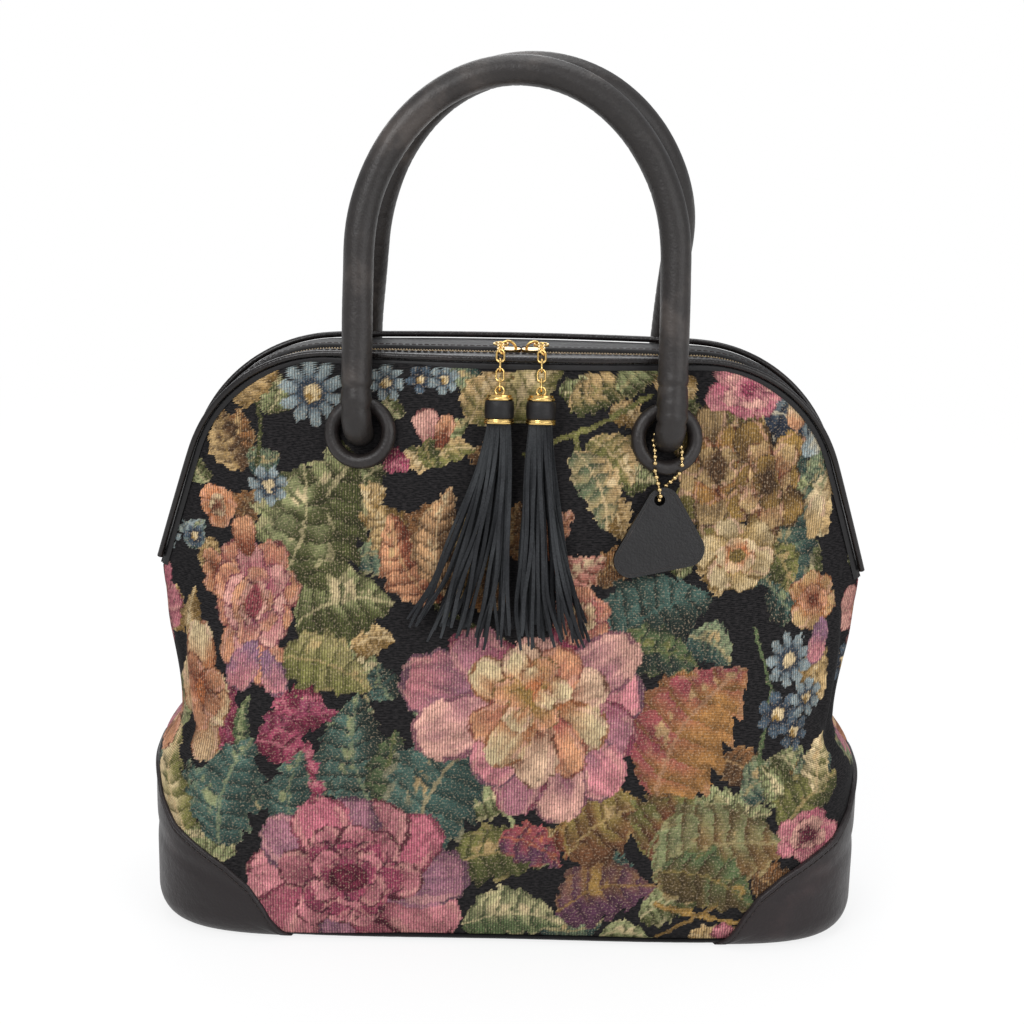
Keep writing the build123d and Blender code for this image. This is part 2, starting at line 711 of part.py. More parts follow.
# Tag: a rounded leather triangle that lies along the panel under the right ring
TAG_PLANE = seat(TAG_CENTRE_X, TAG_TOP_HEIGHT - TAG_HEIGHT / 2, TAG_GAP)
with BuildPart() as tag:
    with BuildSketch(TAG_PLANE):
        with BuildLine():
            Polyline(
                (TAG_APEX_X, TAG_HEIGHT / 2 + TAG_CORNER),
                (TAG_WIDTH / 2 + TAG_CORNER / 2, -TAG_RIGHT_DROP),
                (-TAG_WIDTH / 2 - TAG_CORNER / 2, -TAG_LEFT_DROP),
                close=True,
            )
        triangle = make_face()
        fillet(triangle.vertices(), TAG_CORNER)
        with Locations((TAG_HOLE_X, TAG_HEIGHT / 2 - TAG_HOLE_DROP)):
            Circle(TAG_HOLE_RADIUS, mode=Mode.SUBTRACT)
    extrude(amount=TAG_THICKNESS)
write(tag.part, "tag")


def beads(points):
    """Return a ball chain along straight runs between points: balls a pitch apart, with a pin between each two."""
    with BuildLine() as line:
        Polyline(*points)
    wire = line.wire()
    steps = round(wire.length / BEAD_WIRE * 4)
    places = [wire.position_at(0)]
    for index in range(steps + 1):
        place = wire.position_at(index / steps)
        if (place - places[-1]).length >= BEAD_PITCH:
            places.append(place)
    with BuildPart() as part:
        with Locations(*places):
            Sphere(BEAD_RADIUS)
        for start, end in zip(places, places[1:]):
            along = (end - start).normalized()
            with BuildSketch(Plane(origin=start + along * (BEAD_RADIUS + PIN_GAP), z_dir=along)):
                Circle(BEAD_WIRE)
            extrude(amount=(end - start).length - 2 * (BEAD_RADIUS + PIN_GAP))
    return part.part


def on_seat(across, up, out):
    """Return a point given on the right front ring's seat."""
    return NECK_SEAT.from_local_coords(Vector(across, up, out))


def on_tag(across, up, out):
    """Return a point given on the back of the tag."""
    return TAG_PLANE.from_local_coords(Vector(across, up, out))


NECK_REACH = NECK_RADIUS + BEAD_RADIUS + CLEARANCE * 2
BEAD_LIFT = BEAD_RADIUS + CLEARANCE * 4
OVER_RING_OUT = RING_LIFT + RING_WIRE + BEAD_RADIUS + CLEARANCE * 2
BELOW_RING = RING_RADIUS + RING_WIRE + BEAD_RADIUS + CLEARANCE * 2
OVER_RING_DOWN = sqrt(RING_RADIUS**2 - NECK_REACH**2)
right_side = [
    on_seat(NECK_REACH, -OVER_RING_DOWN, OVER_RING_OUT),
    on_seat(NECK_REACH, -OVER_RING_DOWN / 2, OVER_RING_OUT * OVER_RING_REST),
    on_seat(NECK_REACH, 0, BEAD_LIFT),
    on_seat(NECK_REACH * 0.7, NECK_REACH * 0.7, BEAD_LIFT),
]
left_side = [
    on_seat(-NECK_REACH, -OVER_RING_DOWN, OVER_RING_OUT),
    on_seat(-NECK_REACH, -OVER_RING_DOWN / 2, OVER_RING_OUT * OVER_RING_REST),
    on_seat(-NECK_REACH, 0, BEAD_LIFT),
    on_seat(-NECK_REACH * 0.7, NECK_REACH * 0.7, BEAD_LIFT),
]
write(beads(right_side + [on_seat(0, NECK_REACH, BEAD_LIFT)] + left_side[::-1]), "ring_bead_chain")

hole_up = TAG_HEIGHT / 2 - TAG_HOLE_DROP
front_out = TAG_THICKNESS + BEAD_RADIUS + CLEARANCE
back_out = -BEAD_RADIUS - CLEARANCE
SWING_CENTRE = (right_side[0] + left_side[0]) / 2
SWING_AXIS = (right_side[0] - left_side[0]).normalized()
swing_down = Vector(0, 0, -1)
tag_strands = [
    left_side[0] + swing_down * BEAD_PITCH,
    on_tag(TAG_HOLE_X, hole_up + BEAD_PITCH, front_out),
    on_tag(TAG_HOLE_X, hole_up + BEAD_WIRE, front_out),
    on_tag(TAG_HOLE_X, hole_up, TAG_THICKNESS / 2),
    on_tag(TAG_HOLE_X, hole_up + BEAD_WIRE, back_out),
    on_tag(TAG_HOLE_X + BEAD_PITCH, TAG_HEIGHT / 2, back_out),
    on_seat(NECK_REACH / 2, -BELOW_RING, RING_LIFT + RING_WIRE / 2),
    right_side[0] + swing_down * BEAD_PITCH,
]
write(beads(tag_strands), "tag_bead_chain")

print("handle hinge", HINGE, "tassel hinge", HINGE_WIRE, "tag hinge", SWING_CENTRE, SWING_AXIS)
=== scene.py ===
"""Looks of a domed jacquard handbag with leather corners, tube handles, tasselled zip pulls and a tag."""

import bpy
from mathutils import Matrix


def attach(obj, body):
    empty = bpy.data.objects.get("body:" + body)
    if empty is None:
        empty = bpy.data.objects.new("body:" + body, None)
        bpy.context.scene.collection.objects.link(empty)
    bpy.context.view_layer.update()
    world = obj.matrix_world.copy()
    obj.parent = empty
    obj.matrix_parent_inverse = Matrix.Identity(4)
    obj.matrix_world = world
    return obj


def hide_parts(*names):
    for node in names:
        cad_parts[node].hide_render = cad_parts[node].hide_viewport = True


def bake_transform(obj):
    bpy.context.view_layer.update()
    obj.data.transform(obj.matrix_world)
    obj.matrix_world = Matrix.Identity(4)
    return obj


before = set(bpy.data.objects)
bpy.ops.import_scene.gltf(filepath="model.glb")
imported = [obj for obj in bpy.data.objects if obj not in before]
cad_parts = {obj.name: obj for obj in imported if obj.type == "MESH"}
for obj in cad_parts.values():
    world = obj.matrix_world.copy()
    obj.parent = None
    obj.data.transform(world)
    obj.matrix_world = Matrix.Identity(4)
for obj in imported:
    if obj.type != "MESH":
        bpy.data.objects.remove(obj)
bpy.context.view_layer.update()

import logging
import math
from dataclasses import dataclass, field
from enum import Enum

import bpy
import numpy as np
from mathutils import Matrix, Vector

logging.basicConfig(level=logging.INFO, format="%(message)s")
LOG = logging.getLogger("handbag")

MM = 0.001
SEED = 7
PICTURE = 1024
DYE_SHARE = 0.81
ZIP_END = 236
STITCH_BEVEL = 0.32


class Thread(Enum):
    """How a field of the cloth is woven."""

    GROUND = 0.0
    LINES = 0.5
    RIBS = 1.0


def tone(red: float, green: float, blue: float) -> np.ndarray:
    """Return a screen colour, 0 to 255 a channel, as the linear colour that the shaders work in."""
    value = np.array([red, green, blue], float) / 255
    return np.where(value <= 0.04045, value / 12.92, ((value + 0.055) / 1.055) ** 2.4)


def shade(red: float, green: float, blue: float) -> tuple[float, float, float, float]:
    """Return a screen colour as a linear colour with full cover."""
    return (*[float(part) for part in tone(red, green, blue)], 1.0)


def ramp(value, low: float, high: float):
    """Return how far value has gone from low to high, held between 0 and 1."""
    return np.clip((value - low) / (high - low), 0, 1)


def eased(value, low: float, high: float):
    """Return ramp() with a soft start and a soft end."""
    part = ramp(value, low, high)
    return part * part * (3 - 2 * part)


def mix(first, second, share):
    """Return the value that lies the given share of the way from first to second."""
    return first + (second - first) * share


def hill(value, middle: float, width: float):
    """Return a smooth bump of height 1 about a middle."""
    return np.exp(-(((value - middle) / width) ** 2))


def hashed(first, second, seed: int = 0):
    """Return an even spread of values from 0 to 1, the same for the same whole numbers."""
    value = np.sin(first * 127.1 + second * 311.7 + seed * 74.7) * 43758.5453
    return value - np.floor(value)


def cloudy(x, y, size: float, seed: int = 0):
    """Return smooth noise from -1 to 1 with patches of about this size."""
    u, v = x / size, y / size
    column, row = np.floor(u), np.floor(v)
    p, q = u - column, v - row
    p, q = p * p * (3 - 2 * p), q * q * (3 - 2 * q)
    low = mix(hashed(column, row, seed), hashed(column + 1, row, seed), p)
    high = mix(hashed(column, row + 1, seed), hashed(column + 1, row + 1, seed), p)
    return mix(low, high, q) * 2 - 1


@dataclass(frozen=True)
class BagForm:
    """The soft body's outside surface, in millimetres, as the source of the solids has it.

    Args are the widths, depths and heights that the outline passes through.
    """

    base_width: float = 376
    base_depth: float = 140
    waist_width: float = 350
    ear_width: float = 374
    crown_width: float = 398
    top_corner: float = 300
    shoulder: float = 76
    gusset: float = 56
    corner_height: float = 86
    waist_height: float = 111
    ear_height: float = 187
    height: float = 307
    low_square: float = 7.5
    low_round: float = 2.9
    flat_share: float = 0.93
    rim_height: float = 14
    rim_inset: float = 9
    bulge: float = 2.6

    def rim(self, z):
        """Return how far the foot of the body turns in at a height."""
        low = np.clip(1 - np.asarray(z, float) / self.rim_height, 0, 1)
        return self.rim_inset * (1 - np.sqrt(1 - low**2))

    def half_width(self, z):
        """Return the half width before the dome is cut."""
        z = np.asarray(z, float)
        low = mix(self.base_width, self.waist_width, eased(z, self.corner_height, self.waist_height)) / 2
        middle = mix(self.waist_width, self.ear_width, eased(z, self.waist_height, self.ear_height)) / 2
        high = mix(self.ear_width, self.crown_width, ramp(z, self.ear_height, self.height)) / 2
        return np.where(z < self.waist_height, low, np.where(z < self.ear_height, middle, high)) - self.rim(z)

    def half_depth(self, z):
        """Return the half depth on the middle line."""
        z = np.asarray(z, float)
        sides = self.base_depth - self.gusset
        return self.gusset / 2 + sides / 2 * (1 - (z / self.height) ** self.bulge) - self.rim(z)

    def squareness(self, z):
        """Return how square the ends are in plan."""
        low = mix(self.low_square, 2.4, ramp(z, self.corner_height, self.ear_height))
        return mix(low, 2.0, ramp(z, self.ear_height, self.height))

    def roundness(self, z):
        """Return how round the ends are in plan."""
        return mix(self.low_round, 1.0, ramp(z, self.corner_height, self.ear_height))

    def front_y(self, x, z):
        """Return where the front surface stands."""
        share = np.clip(np.abs(x) / self.half_width(z), 0, 1)
        return -self.half_depth(z) * (1 - share ** self.squareness(z)) ** (1 / self.roundness(z))

    def normal(self, x: float, z: float) -> np.ndarray:
        """Return the outward direction of the front surface."""
        across = (self.front_y(x + 1, z) - self.front_y(x - 1, z)) / 2
        up = (self.front_y(x, z + 1) - self.front_y(x, z - 1)) / 2
        value = np.array([float(across), -1.0, float(up)])
        return value / np.linalg.norm(value)

    def edge(self, z: float, inset: float) -> float:
        """Return the half width of the front view's outline, this far inside it above the ears."""
        if z < self.ear_height:
            return float(self.half_width(z))
        lean = (self.ear_width - self.top_corner) / 2 / (self.height - self.ear_height)
        middle_x, middle_z = self.arc_middle()
        slope = math.hypot(1, lean)
        start = middle_z + (self.shoulder - inset) * lean / slope
        if z < start:
            return self.ear_width / 2 - (z - self.ear_height) * lean - inset * slope
        rise = min(z - middle_z, self.shoulder - inset)
        return middle_x + math.sqrt((self.shoulder - inset) ** 2 - rise**2)

    def arc_middle(self) -> tuple[float, float]:
        """Return the middle of the shoulder's arc, across and up."""
        run = (self.ear_width - self.top_corner) / 2
        rise = self.height - self.ear_height
        turn = math.acos(run / math.hypot(run, rise))
        return self.top_corner / 2 - self.shoulder * math.tan(turn / 2), self.height - self.shoulder

    def dome(self, count: int) -> tuple[np.ndarray, np.ndarray, np.ndarray]:
        """Return the dome's outline from the left ear to the right: places, outward directions, lengths."""
        middle_x, middle_z = self.arc_middle()
        ear = np.array([self.ear_width / 2, self.ear_height])
        run, rise = (self.ear_width - self.top_corner) / 2, self.height - self.ear_height
        low = math.atan2(run, rise)
        turns = np.linspace(low, math.pi / 2, 60)
        arc = np.stack(
            [middle_x + self.shoulder * np.cos(turns), middle_z + self.shoulder * np.sin(turns)], 1
        )
        side = np.linspace(ear, arc[0], 30)[:-1]
        top = np.linspace(arc[-1], [0, self.height], 40)[1:]
        half = np.concatenate([side, arc, top])
        line = np.concatenate([half * [-1, 1], half[::-1][1:]])
        length = np.concatenate([[0], np.cumsum(np.linalg.norm(np.diff(line, axis=0), axis=1))])
        even = np.linspace(0, length[-1], count)
        places = np.stack([np.interp(even, length, line[:, axis]) for axis in (0, 1)], 1)
        along = np.gradient(places, axis=0)
        along /= np.linalg.norm(along, axis=1)[:, None]
        return places, np.stack([-along[:, 1], along[:, 0]], 1), even

    def girth(self, z: float, half_count: int, grow: float, inset: float) -> tuple[np.ndarray, np.ndarray]:
        """Return one level of a panel from left to right, evenly spaced, and the lengths from the middle."""
        width, depth = float(self.half_width(z)) + grow, float(self.half_depth(z)) + grow
        square, round_ = float(self.squareness(z)), float(self.roundness(z))
        flat = np.linspace(0, self.flat_share, 500)
        turn = math.acos(self.flat_share ** (square / 2)) * (1 - np.linspace(0, 1, 500)[1:]) ** 1.5
        x = np.concatenate([flat, np.cos(turn) ** (2 / square)]) * width
        out = np.concatenate([(1 - flat**square) ** (1 / round_), np.sin(turn) ** (2 / round_)])
        out[-1] = 0
        y = -depth * out
        length = np.concatenate([[0], np.cumsum(np.hypot(np.diff(x), np.diff(y)))])
        limit = self.edge(z, inset) + grow
        reach = length[-1] if limit >= x[-1] - 1e-6 else float(np.interp(limit, x, length))
        even = np.linspace(0, reach, half_count + 1)
        half = np.stack(
            [np.interp(even, length, x), np.interp(even, length, y), np.full(half_count + 1, z)], 1
        )
        left = half[::-1][:-1] * [-1, 1, 1]
        return np.concatenate([left, half]), np.concatenate([-even[::-1][:-1], even])


FORM = BagForm()


class Wire:
    """One number or colour in a material's node tree, with arithmetic."""

    def __init__(self, finish: "Finish", socket: bpy.types.NodeSocket) -> None:
        """Keep the finish and the socket."""
        self.finish = finish
        self.socket = socket

    def maths(self, operation: str, *values: "Wire | float") -> "Wire":
        """Return the result of a Math node on these values."""
        inputs = dict(enumerate(values))
        return self.finish.wire("ShaderNodeMath", {"operation": operation}, inputs)

    def __add__(self, other: "Wire | float") -> "Wire":
        """Return the sum."""
        return self.maths("ADD", self, other)

    __radd__ = __add__

    def __mul__(self, other: "Wire | float") -> "Wire":
        """Return the product."""
        return self.maths("MULTIPLY", self, other)

    __rmul__ = __mul__

    def __rsub__(self, other: float) -> "Wire":
        """Return the difference from a number."""
        return self.maths("SUBTRACT", other, self)

    def __pow__(self, other: float) -> "Wire":
        """Return the power."""
        return self.maths("POWER", self, other)

    def sine(self) -> "Wire":
        """Return a wave from 0 to 1."""
        return self.maths("SINE", self) * 0.5 + 0.5

    def between(self, low: float, high: float) -> "Wire":
        """Return 0 under low, 1 over high, and a soft step in between."""
        settings = {"interpolation_type": "SMOOTHSTEP"}
        return self.finish.wire("ShaderNodeMapRange", settings, {0: self, 1: low, 2: high, 3: 0.0, 4: 1.0})


class Finish:
    """A material's node tree, and the nodes that every finish starts from."""

    def __init__(self, name: str) -> None:
        """Start an empty material."""
        self.material = bpy.data.materials.new(name)
        self.material.use_nodes = True
        self.tree = self.material.node_tree
        self.tree.nodes.clear()

    def node(self, kind: str, settings: dict | None = None, inputs: dict | None = None) -> bpy.types.Node:
        """Return a new node.

        Args:
            kind: the node's type.
            settings: its properties, set first.
            inputs: values or wires for its sockets, by name or number.
        """
        made = self.tree.nodes.new(kind)
        for key, value in (settings or {}).items():
            setattr(made, key, value)
        for key, value in (inputs or {}).items():
            socket = made.inputs[key]
            if isinstance(value, Wire):
                self.tree.links.new(value.socket, socket)
            else:
                socket.default_value = value
        return made

    def wire(self, kind: str, settings: dict | None = None, inputs: dict | None = None, output=0) -> Wire:
        """Return one output of a new node."""
        return Wire(self, self.node(kind, settings, inputs).outputs[output])

    def place(self, scale: tuple[float, float, float] = (1, 1, 1)) -> Wire:
        """Return the place on the object, stretched."""
        where = self.wire("ShaderNodeTexCoord", output="Object")
        return self.wire("ShaderNodeMapping", {}, {"Vector": where, "Scale": scale})

    def noise(self, scale: float, detail: float = 2.0, where: Wire | None = None, rough: float = 0.5) -> Wire:
        """Return noise from 0 to 1."""
        inputs = {"Scale": scale, "Detail": detail, "Roughness": rough, "Vector": where or self.place()}
        return self.wire("ShaderNodeTexNoise", {}, inputs)

    def cells(self, scale: float, where: Wire | None = None) -> Wire:
        """Return the distance to the nearest pore."""
        settings = {"feature": "SMOOTH_F1"}
        return self.wire("ShaderNodeTexVoronoi", settings, {"Scale": scale, "Vector": where or self.place()})

    def blend(self, share: "Wire | float", first, second) -> Wire:
        """Return a colour between two colours."""
        return self.wire("ShaderNodeMix", {"data_type": "RGBA"}, {0: share, 6: first, 7: second}, output=2)

    def bump(self, height: Wire, distance: float, strength: float = 1.0, under: Wire | None = None) -> Wire:
        """Return a normal that stands for this relief."""
        inputs = {"Height": height, "Distance": distance, "Strength": strength}
        if under:
            inputs["Normal"] = under
        return self.wire("ShaderNodeBump", {}, inputs)

    def surface(self, **sockets) -> bpy.types.Material:
        """Return the finished material. Names use _ for a space."""
        inputs = {key.replace("_", " "): value for key, value in sockets.items()}
        shader = self.node("ShaderNodeBsdfPrincipled", {}, inputs)
        end = self.node("ShaderNodeOutputMaterial")
        self.tree.links.new(shader.outputs[0], end.inputs[0])
        return self.material


@dataclass(frozen=True)
class Leather:
    """Soft dyed leather with pores, fine wrinkles and rubbed high spots."""

    name: str
    colour: tuple[float, float, float, float]
    rubbed: tuple[float, float, float, float]
    roughness: float = 0.42
    wrinkle: float = 0.0012
    wear: float = 0.5

    def material(self) -> bpy.types.Material:
        """Return the material."""
        finish = Finish(self.name)
        where = finish.place()
        pores = finish.cells(900, where)
        folds = finish.noise(55, 4, where, 0.6)
        cloud = finish.noise(18, 3)
        fine = finish.noise(420, 3, where)
        rub = (folds * 0.6 + cloud * 0.6).between(0.62, 0.84) * self.wear
        dark = tuple(part * 0.62 for part in self.colour[:3]) + (1.0,)
        base = finish.blend(cloud.between(0.35, 0.7), dark, self.colour)
        colour = finish.blend(rub + fine * 0.12, base, self.rubbed)
        relief = finish.bump(pores, 0.00022, 0.5)
        relief = finish.bump(fine, 0.0002, 0.45, relief)
        relief = finish.bump(folds, self.wrinkle, 0.55, relief)
        rough = rub * -0.1 + fine * 0.16 + (self.roughness - 0.08)
        return finish.surface(
            Base_Color=colour,
            Roughness=rough,
            Normal=relief,
            Coat_Weight=0.06,
            Coat_Roughness=0.4,
            Specular_IOR_Level=0.38,
        )


@dataclass(frozen=True)
class Metal:
    """Polished plated metal with a faintly uneven polish."""

    name: str
    colour: tuple[float, float, float, float]
    roughness: float = 0.2

    def material(self) -> bpy.types.Material:
        """Return the material."""
        finish = Finish(self.name)
        cloud = finish.noise(160, 3)
        scratch = finish.noise(500, 2, finish.place((1, 1, 0.12)))
        worn = tuple(part * 0.72 for part in self.colour[:3]) + (1.0,)
        colour = finish.blend(cloud.between(0.4, 0.75) * 0.6, self.colour, worn)
        rough = cloud * 0.16 + (self.roughness - 0.06)
        relief = finish.bump(scratch, 0.00004, 0.4)
        return finish.surface(Base_Color=colour, Metallic=1.0, Roughness=rough, Normal=relief)


@dataclass(frozen=True)
class Suede:
    """Matt cut leather, as the strips of the tassels are."""

    name: str
    colour: tuple[float, float, float, float]
    light: tuple[float, float, float, float]

    def material(self) -> bpy.types.Material:
        """Return the material."""
        finish = Finish(self.name)
        nap = finish.noise(1100, 4)
        cloud = finish.noise(70, 3, finish.place((1, 1, 0.35)))
        colour = finish.blend((nap * 0.4 + cloud * 0.6).between(0.38, 0.66), self.colour, self.light)
        relief = finish.bump(nap, 0.00025, 0.7)
        return finish.surface(
            Base_Color=colour, Roughness=nap * 0.2 + 0.7, Normal=relief, Specular_IOR_Level=0.3
        )


@dataclass(frozen=True)
class PlainCloth:
    """Plain woven tape or lining, with painted shade in the hollows of the weave."""

    name: str
    colour: tuple[float, float, float, float]
    pitch: float = 0.0007

    def material(self) -> bpy.types.Material:
        """Return the material."""
        finish = Finish(self.name)
        parts = finish.node("ShaderNodeSeparateXYZ", {}, {0: finish.place()})
        waves = [(Wire(finish, parts.outputs[axis]) * (math.tau / self.pitch)).sine() for axis in range(3)]
        weave = waves[0] * waves[2] + waves[1] * 0.5
        # painted shade: the colour darkens where the weave dips, the same height that the bump uses
        dark = tuple(part * 0.45 for part in self.colour[:3]) + (1.0,)
        colour = finish.blend(weave.between(0.2, 1.1) * 0.7 + finish.noise(60) * 0.3, dark, self.colour)
        return finish.surface(
            Base_Color=colour, Roughness=finish.noise(200) * 0.1 + 0.8, Normal=finish.bump(weave, 0.0002, 0.6)
        )


@dataclass(frozen=True)
class Jacquard:
    """Woven flowers on a near black ground: ribs in the light fields, fine lines in the others, with painted
    shade in the gaps between ribs and lines.
    """

    name: str = "jacquard_cloth"
    rib: float = 0.0014
    line: float = 0.00085

    def material(self) -> bpy.types.Material:
        """Return the material."""
        finish = Finish(self.name)
        where = finish.wire("ShaderNodeUVMap", {"uv_map": "cloth"})
        parts = finish.node("ShaderNodeSeparateXYZ", {}, {0: where})
        across, up = Wire(finish, parts.outputs[0]), Wire(finish, parts.outputs[1])
        woven = finish.wire("ShaderNodeAttribute", {"attribute_name": "cloth_colour"}, output="Color")
        thread = finish.wire("ShaderNodeAttribute", {"attribute_name": "cloth_thread"}, output="Fac")
        stretched = finish.wire("ShaderNodeMapping", {}, {"Vector": where, "Scale": (1, 0.35, 1)})
        flat_long = finish.wire("ShaderNodeMapping", {}, {"Vector": where, "Scale": (0.3, 1, 1)})
        shake = finish.noise(260, 2, where)
        fleck = finish.noise(1500, 1, stretched)
        slub = finish.noise(1300, 1, flat_long)
        ribs = (across * (math.tau / self.rib) + shake * 2.2).sine()
        lines = (up * (math.tau / self.line) + shake * 2.0).sine()
        in_ribs = thread.between(0.7, 0.8)
        in_motif = thread.between(0.25, 0.45)
        in_lines = in_motif * (1 - in_ribs)
        # painted shade: darkening in the gaps between the ribs and between the fine lines
        painted_gap_shade = ribs ** 2.0 * in_ribs * 0.6 + lines * in_lines * 0.5
        pepper = (fleck.between(0.52, 0.66) * 0.34 + slub.between(0.54, 0.7) * 0.26) * in_motif
        ground = finish.blend(slub.between(0.35, 0.7), shade(9, 9, 11), shade(34, 32, 33))
        ground = finish.blend(
            (lines * 0.6 + fleck * 0.5).between(0.62, 0.95) * 0.5, ground, shade(52, 49, 48)
        )
        motif = finish.blend(
            finish.noise(900, 2, where).between(0.5, 0.72) * 0.3, woven, shade(226, 200, 168)
        )
        # painted shade: the motif darkens towards near black in those gaps
        motif = finish.blend(painted_gap_shade, motif, shade(30, 26, 27))
        motif = finish.blend(pepper, motif, shade(24, 22, 24))
        colour = finish.blend(in_motif, ground, motif)
        relief = finish.bump(lines * 0.5 + fleck * 0.5, 0.0002, 0.5)
        relief = finish.bump((1 - ribs) * in_ribs + in_motif * 0.7, 0.0004, 0.55, relief)
        return finish.surface(
            Base_Color=colour, Roughness=fleck * 0.14 + 0.8, Normal=relief, Specular_IOR_Level=0.14
        )


class Workshop:
    """The modelling steps that the pieces share."""

    @staticmethod
    def clear() -> None:
        """Select nothing, in object mode."""
        if bpy.context.object and bpy.context.object.mode != "OBJECT":
            bpy.ops.object.mode_set(mode="OBJECT")
        bpy.ops.object.select_all(action="DESELECT")

    @classmethod
    def surface(
        cls, name: str, points: np.ndarray, closed: bool = False, capped: bool = False
    ) -> bpy.types.Object:
        """Return a grid laid through points.

        Args:
            name: the piece's name.
            points: rows of places, in millimetres, as an array of rows x columns x 3.
            closed: whether the last column joins the first.
            capped: whether the first and last rows are closed.
        """
        rows, columns = points.shape[:2]
        cls.clear()
        bpy.ops.mesh.primitive_grid_add(x_subdivisions=columns - 1, y_subdivisions=rows - 1, size=1)
        piece = bpy.context.object
        piece.name = piece.data.name = name
        piece.data.vertices.foreach_set("co", (points.reshape(-1, 3) * MM).astype(np.float32).ravel())
        piece.data.update()
        if closed or capped:
            bpy.ops.object.mode_set(mode="EDIT")
            bpy.ops.mesh.select_all(action="SELECT")
            if closed:
                bpy.ops.mesh.remove_doubles(threshold=0.00001)
            if capped:
                bpy.ops.mesh.select_all(action="DESELECT")
                bpy.ops.mesh.select_non_manifold()
                bpy.ops.mesh.edge_face_add()
                bpy.ops.mesh.select_all(action="SELECT")
            bpy.ops.mesh.normals_make_consistent(inside=False)
            bpy.ops.object.mode_set(mode="OBJECT")
        bpy.ops.object.shade_smooth()
        return piece

    @classmethod
    def strip(
        cls, name: str, path: np.ndarray, wide: np.ndarray, thick: float, twist: np.ndarray
    ) -> bpy.types.Object:
        """Return a flat strip along a path.

        Args:
            name: the piece's name.
            path: places along the middle, in millimetres.
            wide: half the width, one a place.
            thick: half the thickness.
            twist: turns about the path, in radians, one a place.
        """
        along = np.gradient(path, axis=0)
        along /= np.linalg.norm(along, axis=1)[:, None]
        front = np.array([0.0, -1.0, 0.0])
        out = front - along * (along @ front)[:, None]
        out /= np.linalg.norm(out, axis=1)[:, None]
        across = np.cross(along, out)
        c, s = np.cos(twist)[:, None], np.sin(twist)[:, None]
        out, across = out * c + across * s, across * c - out * s
        turn = np.linspace(0, math.tau, 5) + math.pi / 4
        ring = across[:, None] * (wide[:, None, None] * np.cos(turn)[None, :, None])
        ring = ring + out[:, None] * (thick * np.sin(turn)[None, :, None])
        return cls.surface(name, path[:, None] + ring, closed=True, capped=True)

    @classmethod
    def lathe(
        cls,
        name: str,
        profile: list[tuple[float, float]],
        start: np.ndarray,
        along: np.ndarray,
        steps: int = 40,
    ):
        """Return a round piece spun from a profile of (radius, distance along), in millimetres."""
        along = along / np.linalg.norm(along)
        first = np.cross(along, [1.0, 0, 0])
        first /= np.linalg.norm(first)
        second = np.cross(along, first)
        turn = np.linspace(0, math.tau, steps + 1)
        points = []
        for radius, distance in profile:
            ring = first * np.cos(turn)[:, None] + second * np.sin(turn)[:, None]
            points.append(start + along * distance + ring * max(radius, 0.02))
        return cls.surface(name, np.array(points), closed=True, capped=True)

    @classmethod
    def copies(cls, name: str, pattern: bpy.types.Object, places: list[Matrix]) -> bpy.types.Object:
        """Return one piece that holds a copy of a small pattern at each place, and delete the pattern."""
        count = len(pattern.data.vertices)
        points = np.empty(count * 3, np.float32)
        pattern.data.vertices.foreach_get("co", points)
        points = np.concatenate([points.reshape(-1, 3), np.ones((count, 1), np.float32)], 1)
        faces = [tuple(face.vertices) for face in pattern.data.polygons]
        every, all_faces = [], []
        for index, place in enumerate(places):
            every.append(points @ np.array(place).T[:, :3])
            all_faces += [tuple(corner + index * count for corner in face) for face in faces]
        mesh = bpy.data.meshes.new(name)
        mesh.from_pydata(np.concatenate(every).tolist(), [], all_faces)
        bpy.data.objects.remove(pattern)
        piece = bpy.data.objects.new(name, mesh)
        bpy.context.collection.objects.link(piece)
        return piece

    @classmethod
    def join(cls, name: str, parts: list[bpy.types.Object]) -> bpy.types.Object:
        """Return several pieces joined as one."""
        cls.clear()
        for part in parts:
            part.select_set(True)
        bpy.context.view_layer.objects.active = parts[0]
        bpy.ops.object.join()
        parts[0].name = parts[0].data.name = name
        return parts[0]

    @classmethod
    def block(cls, length: float, wide: float, tall: float, bevel: float) -> bpy.types.Object:
        """Return a small block along X, from a cube with bevelled edges, in millimetres."""
        cls.clear()
        bpy.ops.mesh.primitive_cube_add(size=1, scale=(length * MM, wide * MM, tall * MM))
        block = bpy.context.object
        bpy.ops.object.transform_apply(location=False, rotation=False, scale=True)
        bpy.ops.object.mode_set(mode="EDIT")
        bpy.ops.mesh.select_all(action="SELECT")
        bpy.ops.mesh.bevel(offset=bevel * MM, segments=1)
        bpy.ops.object.mode_set(mode="OBJECT")
        return block

    @classmethod
    def stitched(
        cls, name: str, line: np.ndarray, first: float, pitch: float, stitch: bpy.types.Object, upright: tuple
    ):
        """Return a row of stitches along a line.

        Args:
            name: the piece's name.
            line: places along the line, in millimetres.
            first: how far along the first stitch is.
            pitch: how far apart the stitches are.
            stitch: the pattern, which is used up.
            upright: what each place is multiplied by to give the direction out of the bag there.
        """
        run = np.concatenate([[0], np.cumsum(np.linalg.norm(np.diff(line, axis=0), axis=1))])
        spots = np.arange(first, run[-1], pitch)
        at = np.stack([np.interp(spots, run, line[:, axis]) for axis in range(3)], 1)
        ahead = np.stack([np.interp(spots + 0.5, run, line[:, axis]) for axis in range(3)], 1)
        matrices = [turned(place, next_ - place, place * upright) for place, next_ in zip(at, ahead)]
        return cls.copies(name, stitch, matrices)

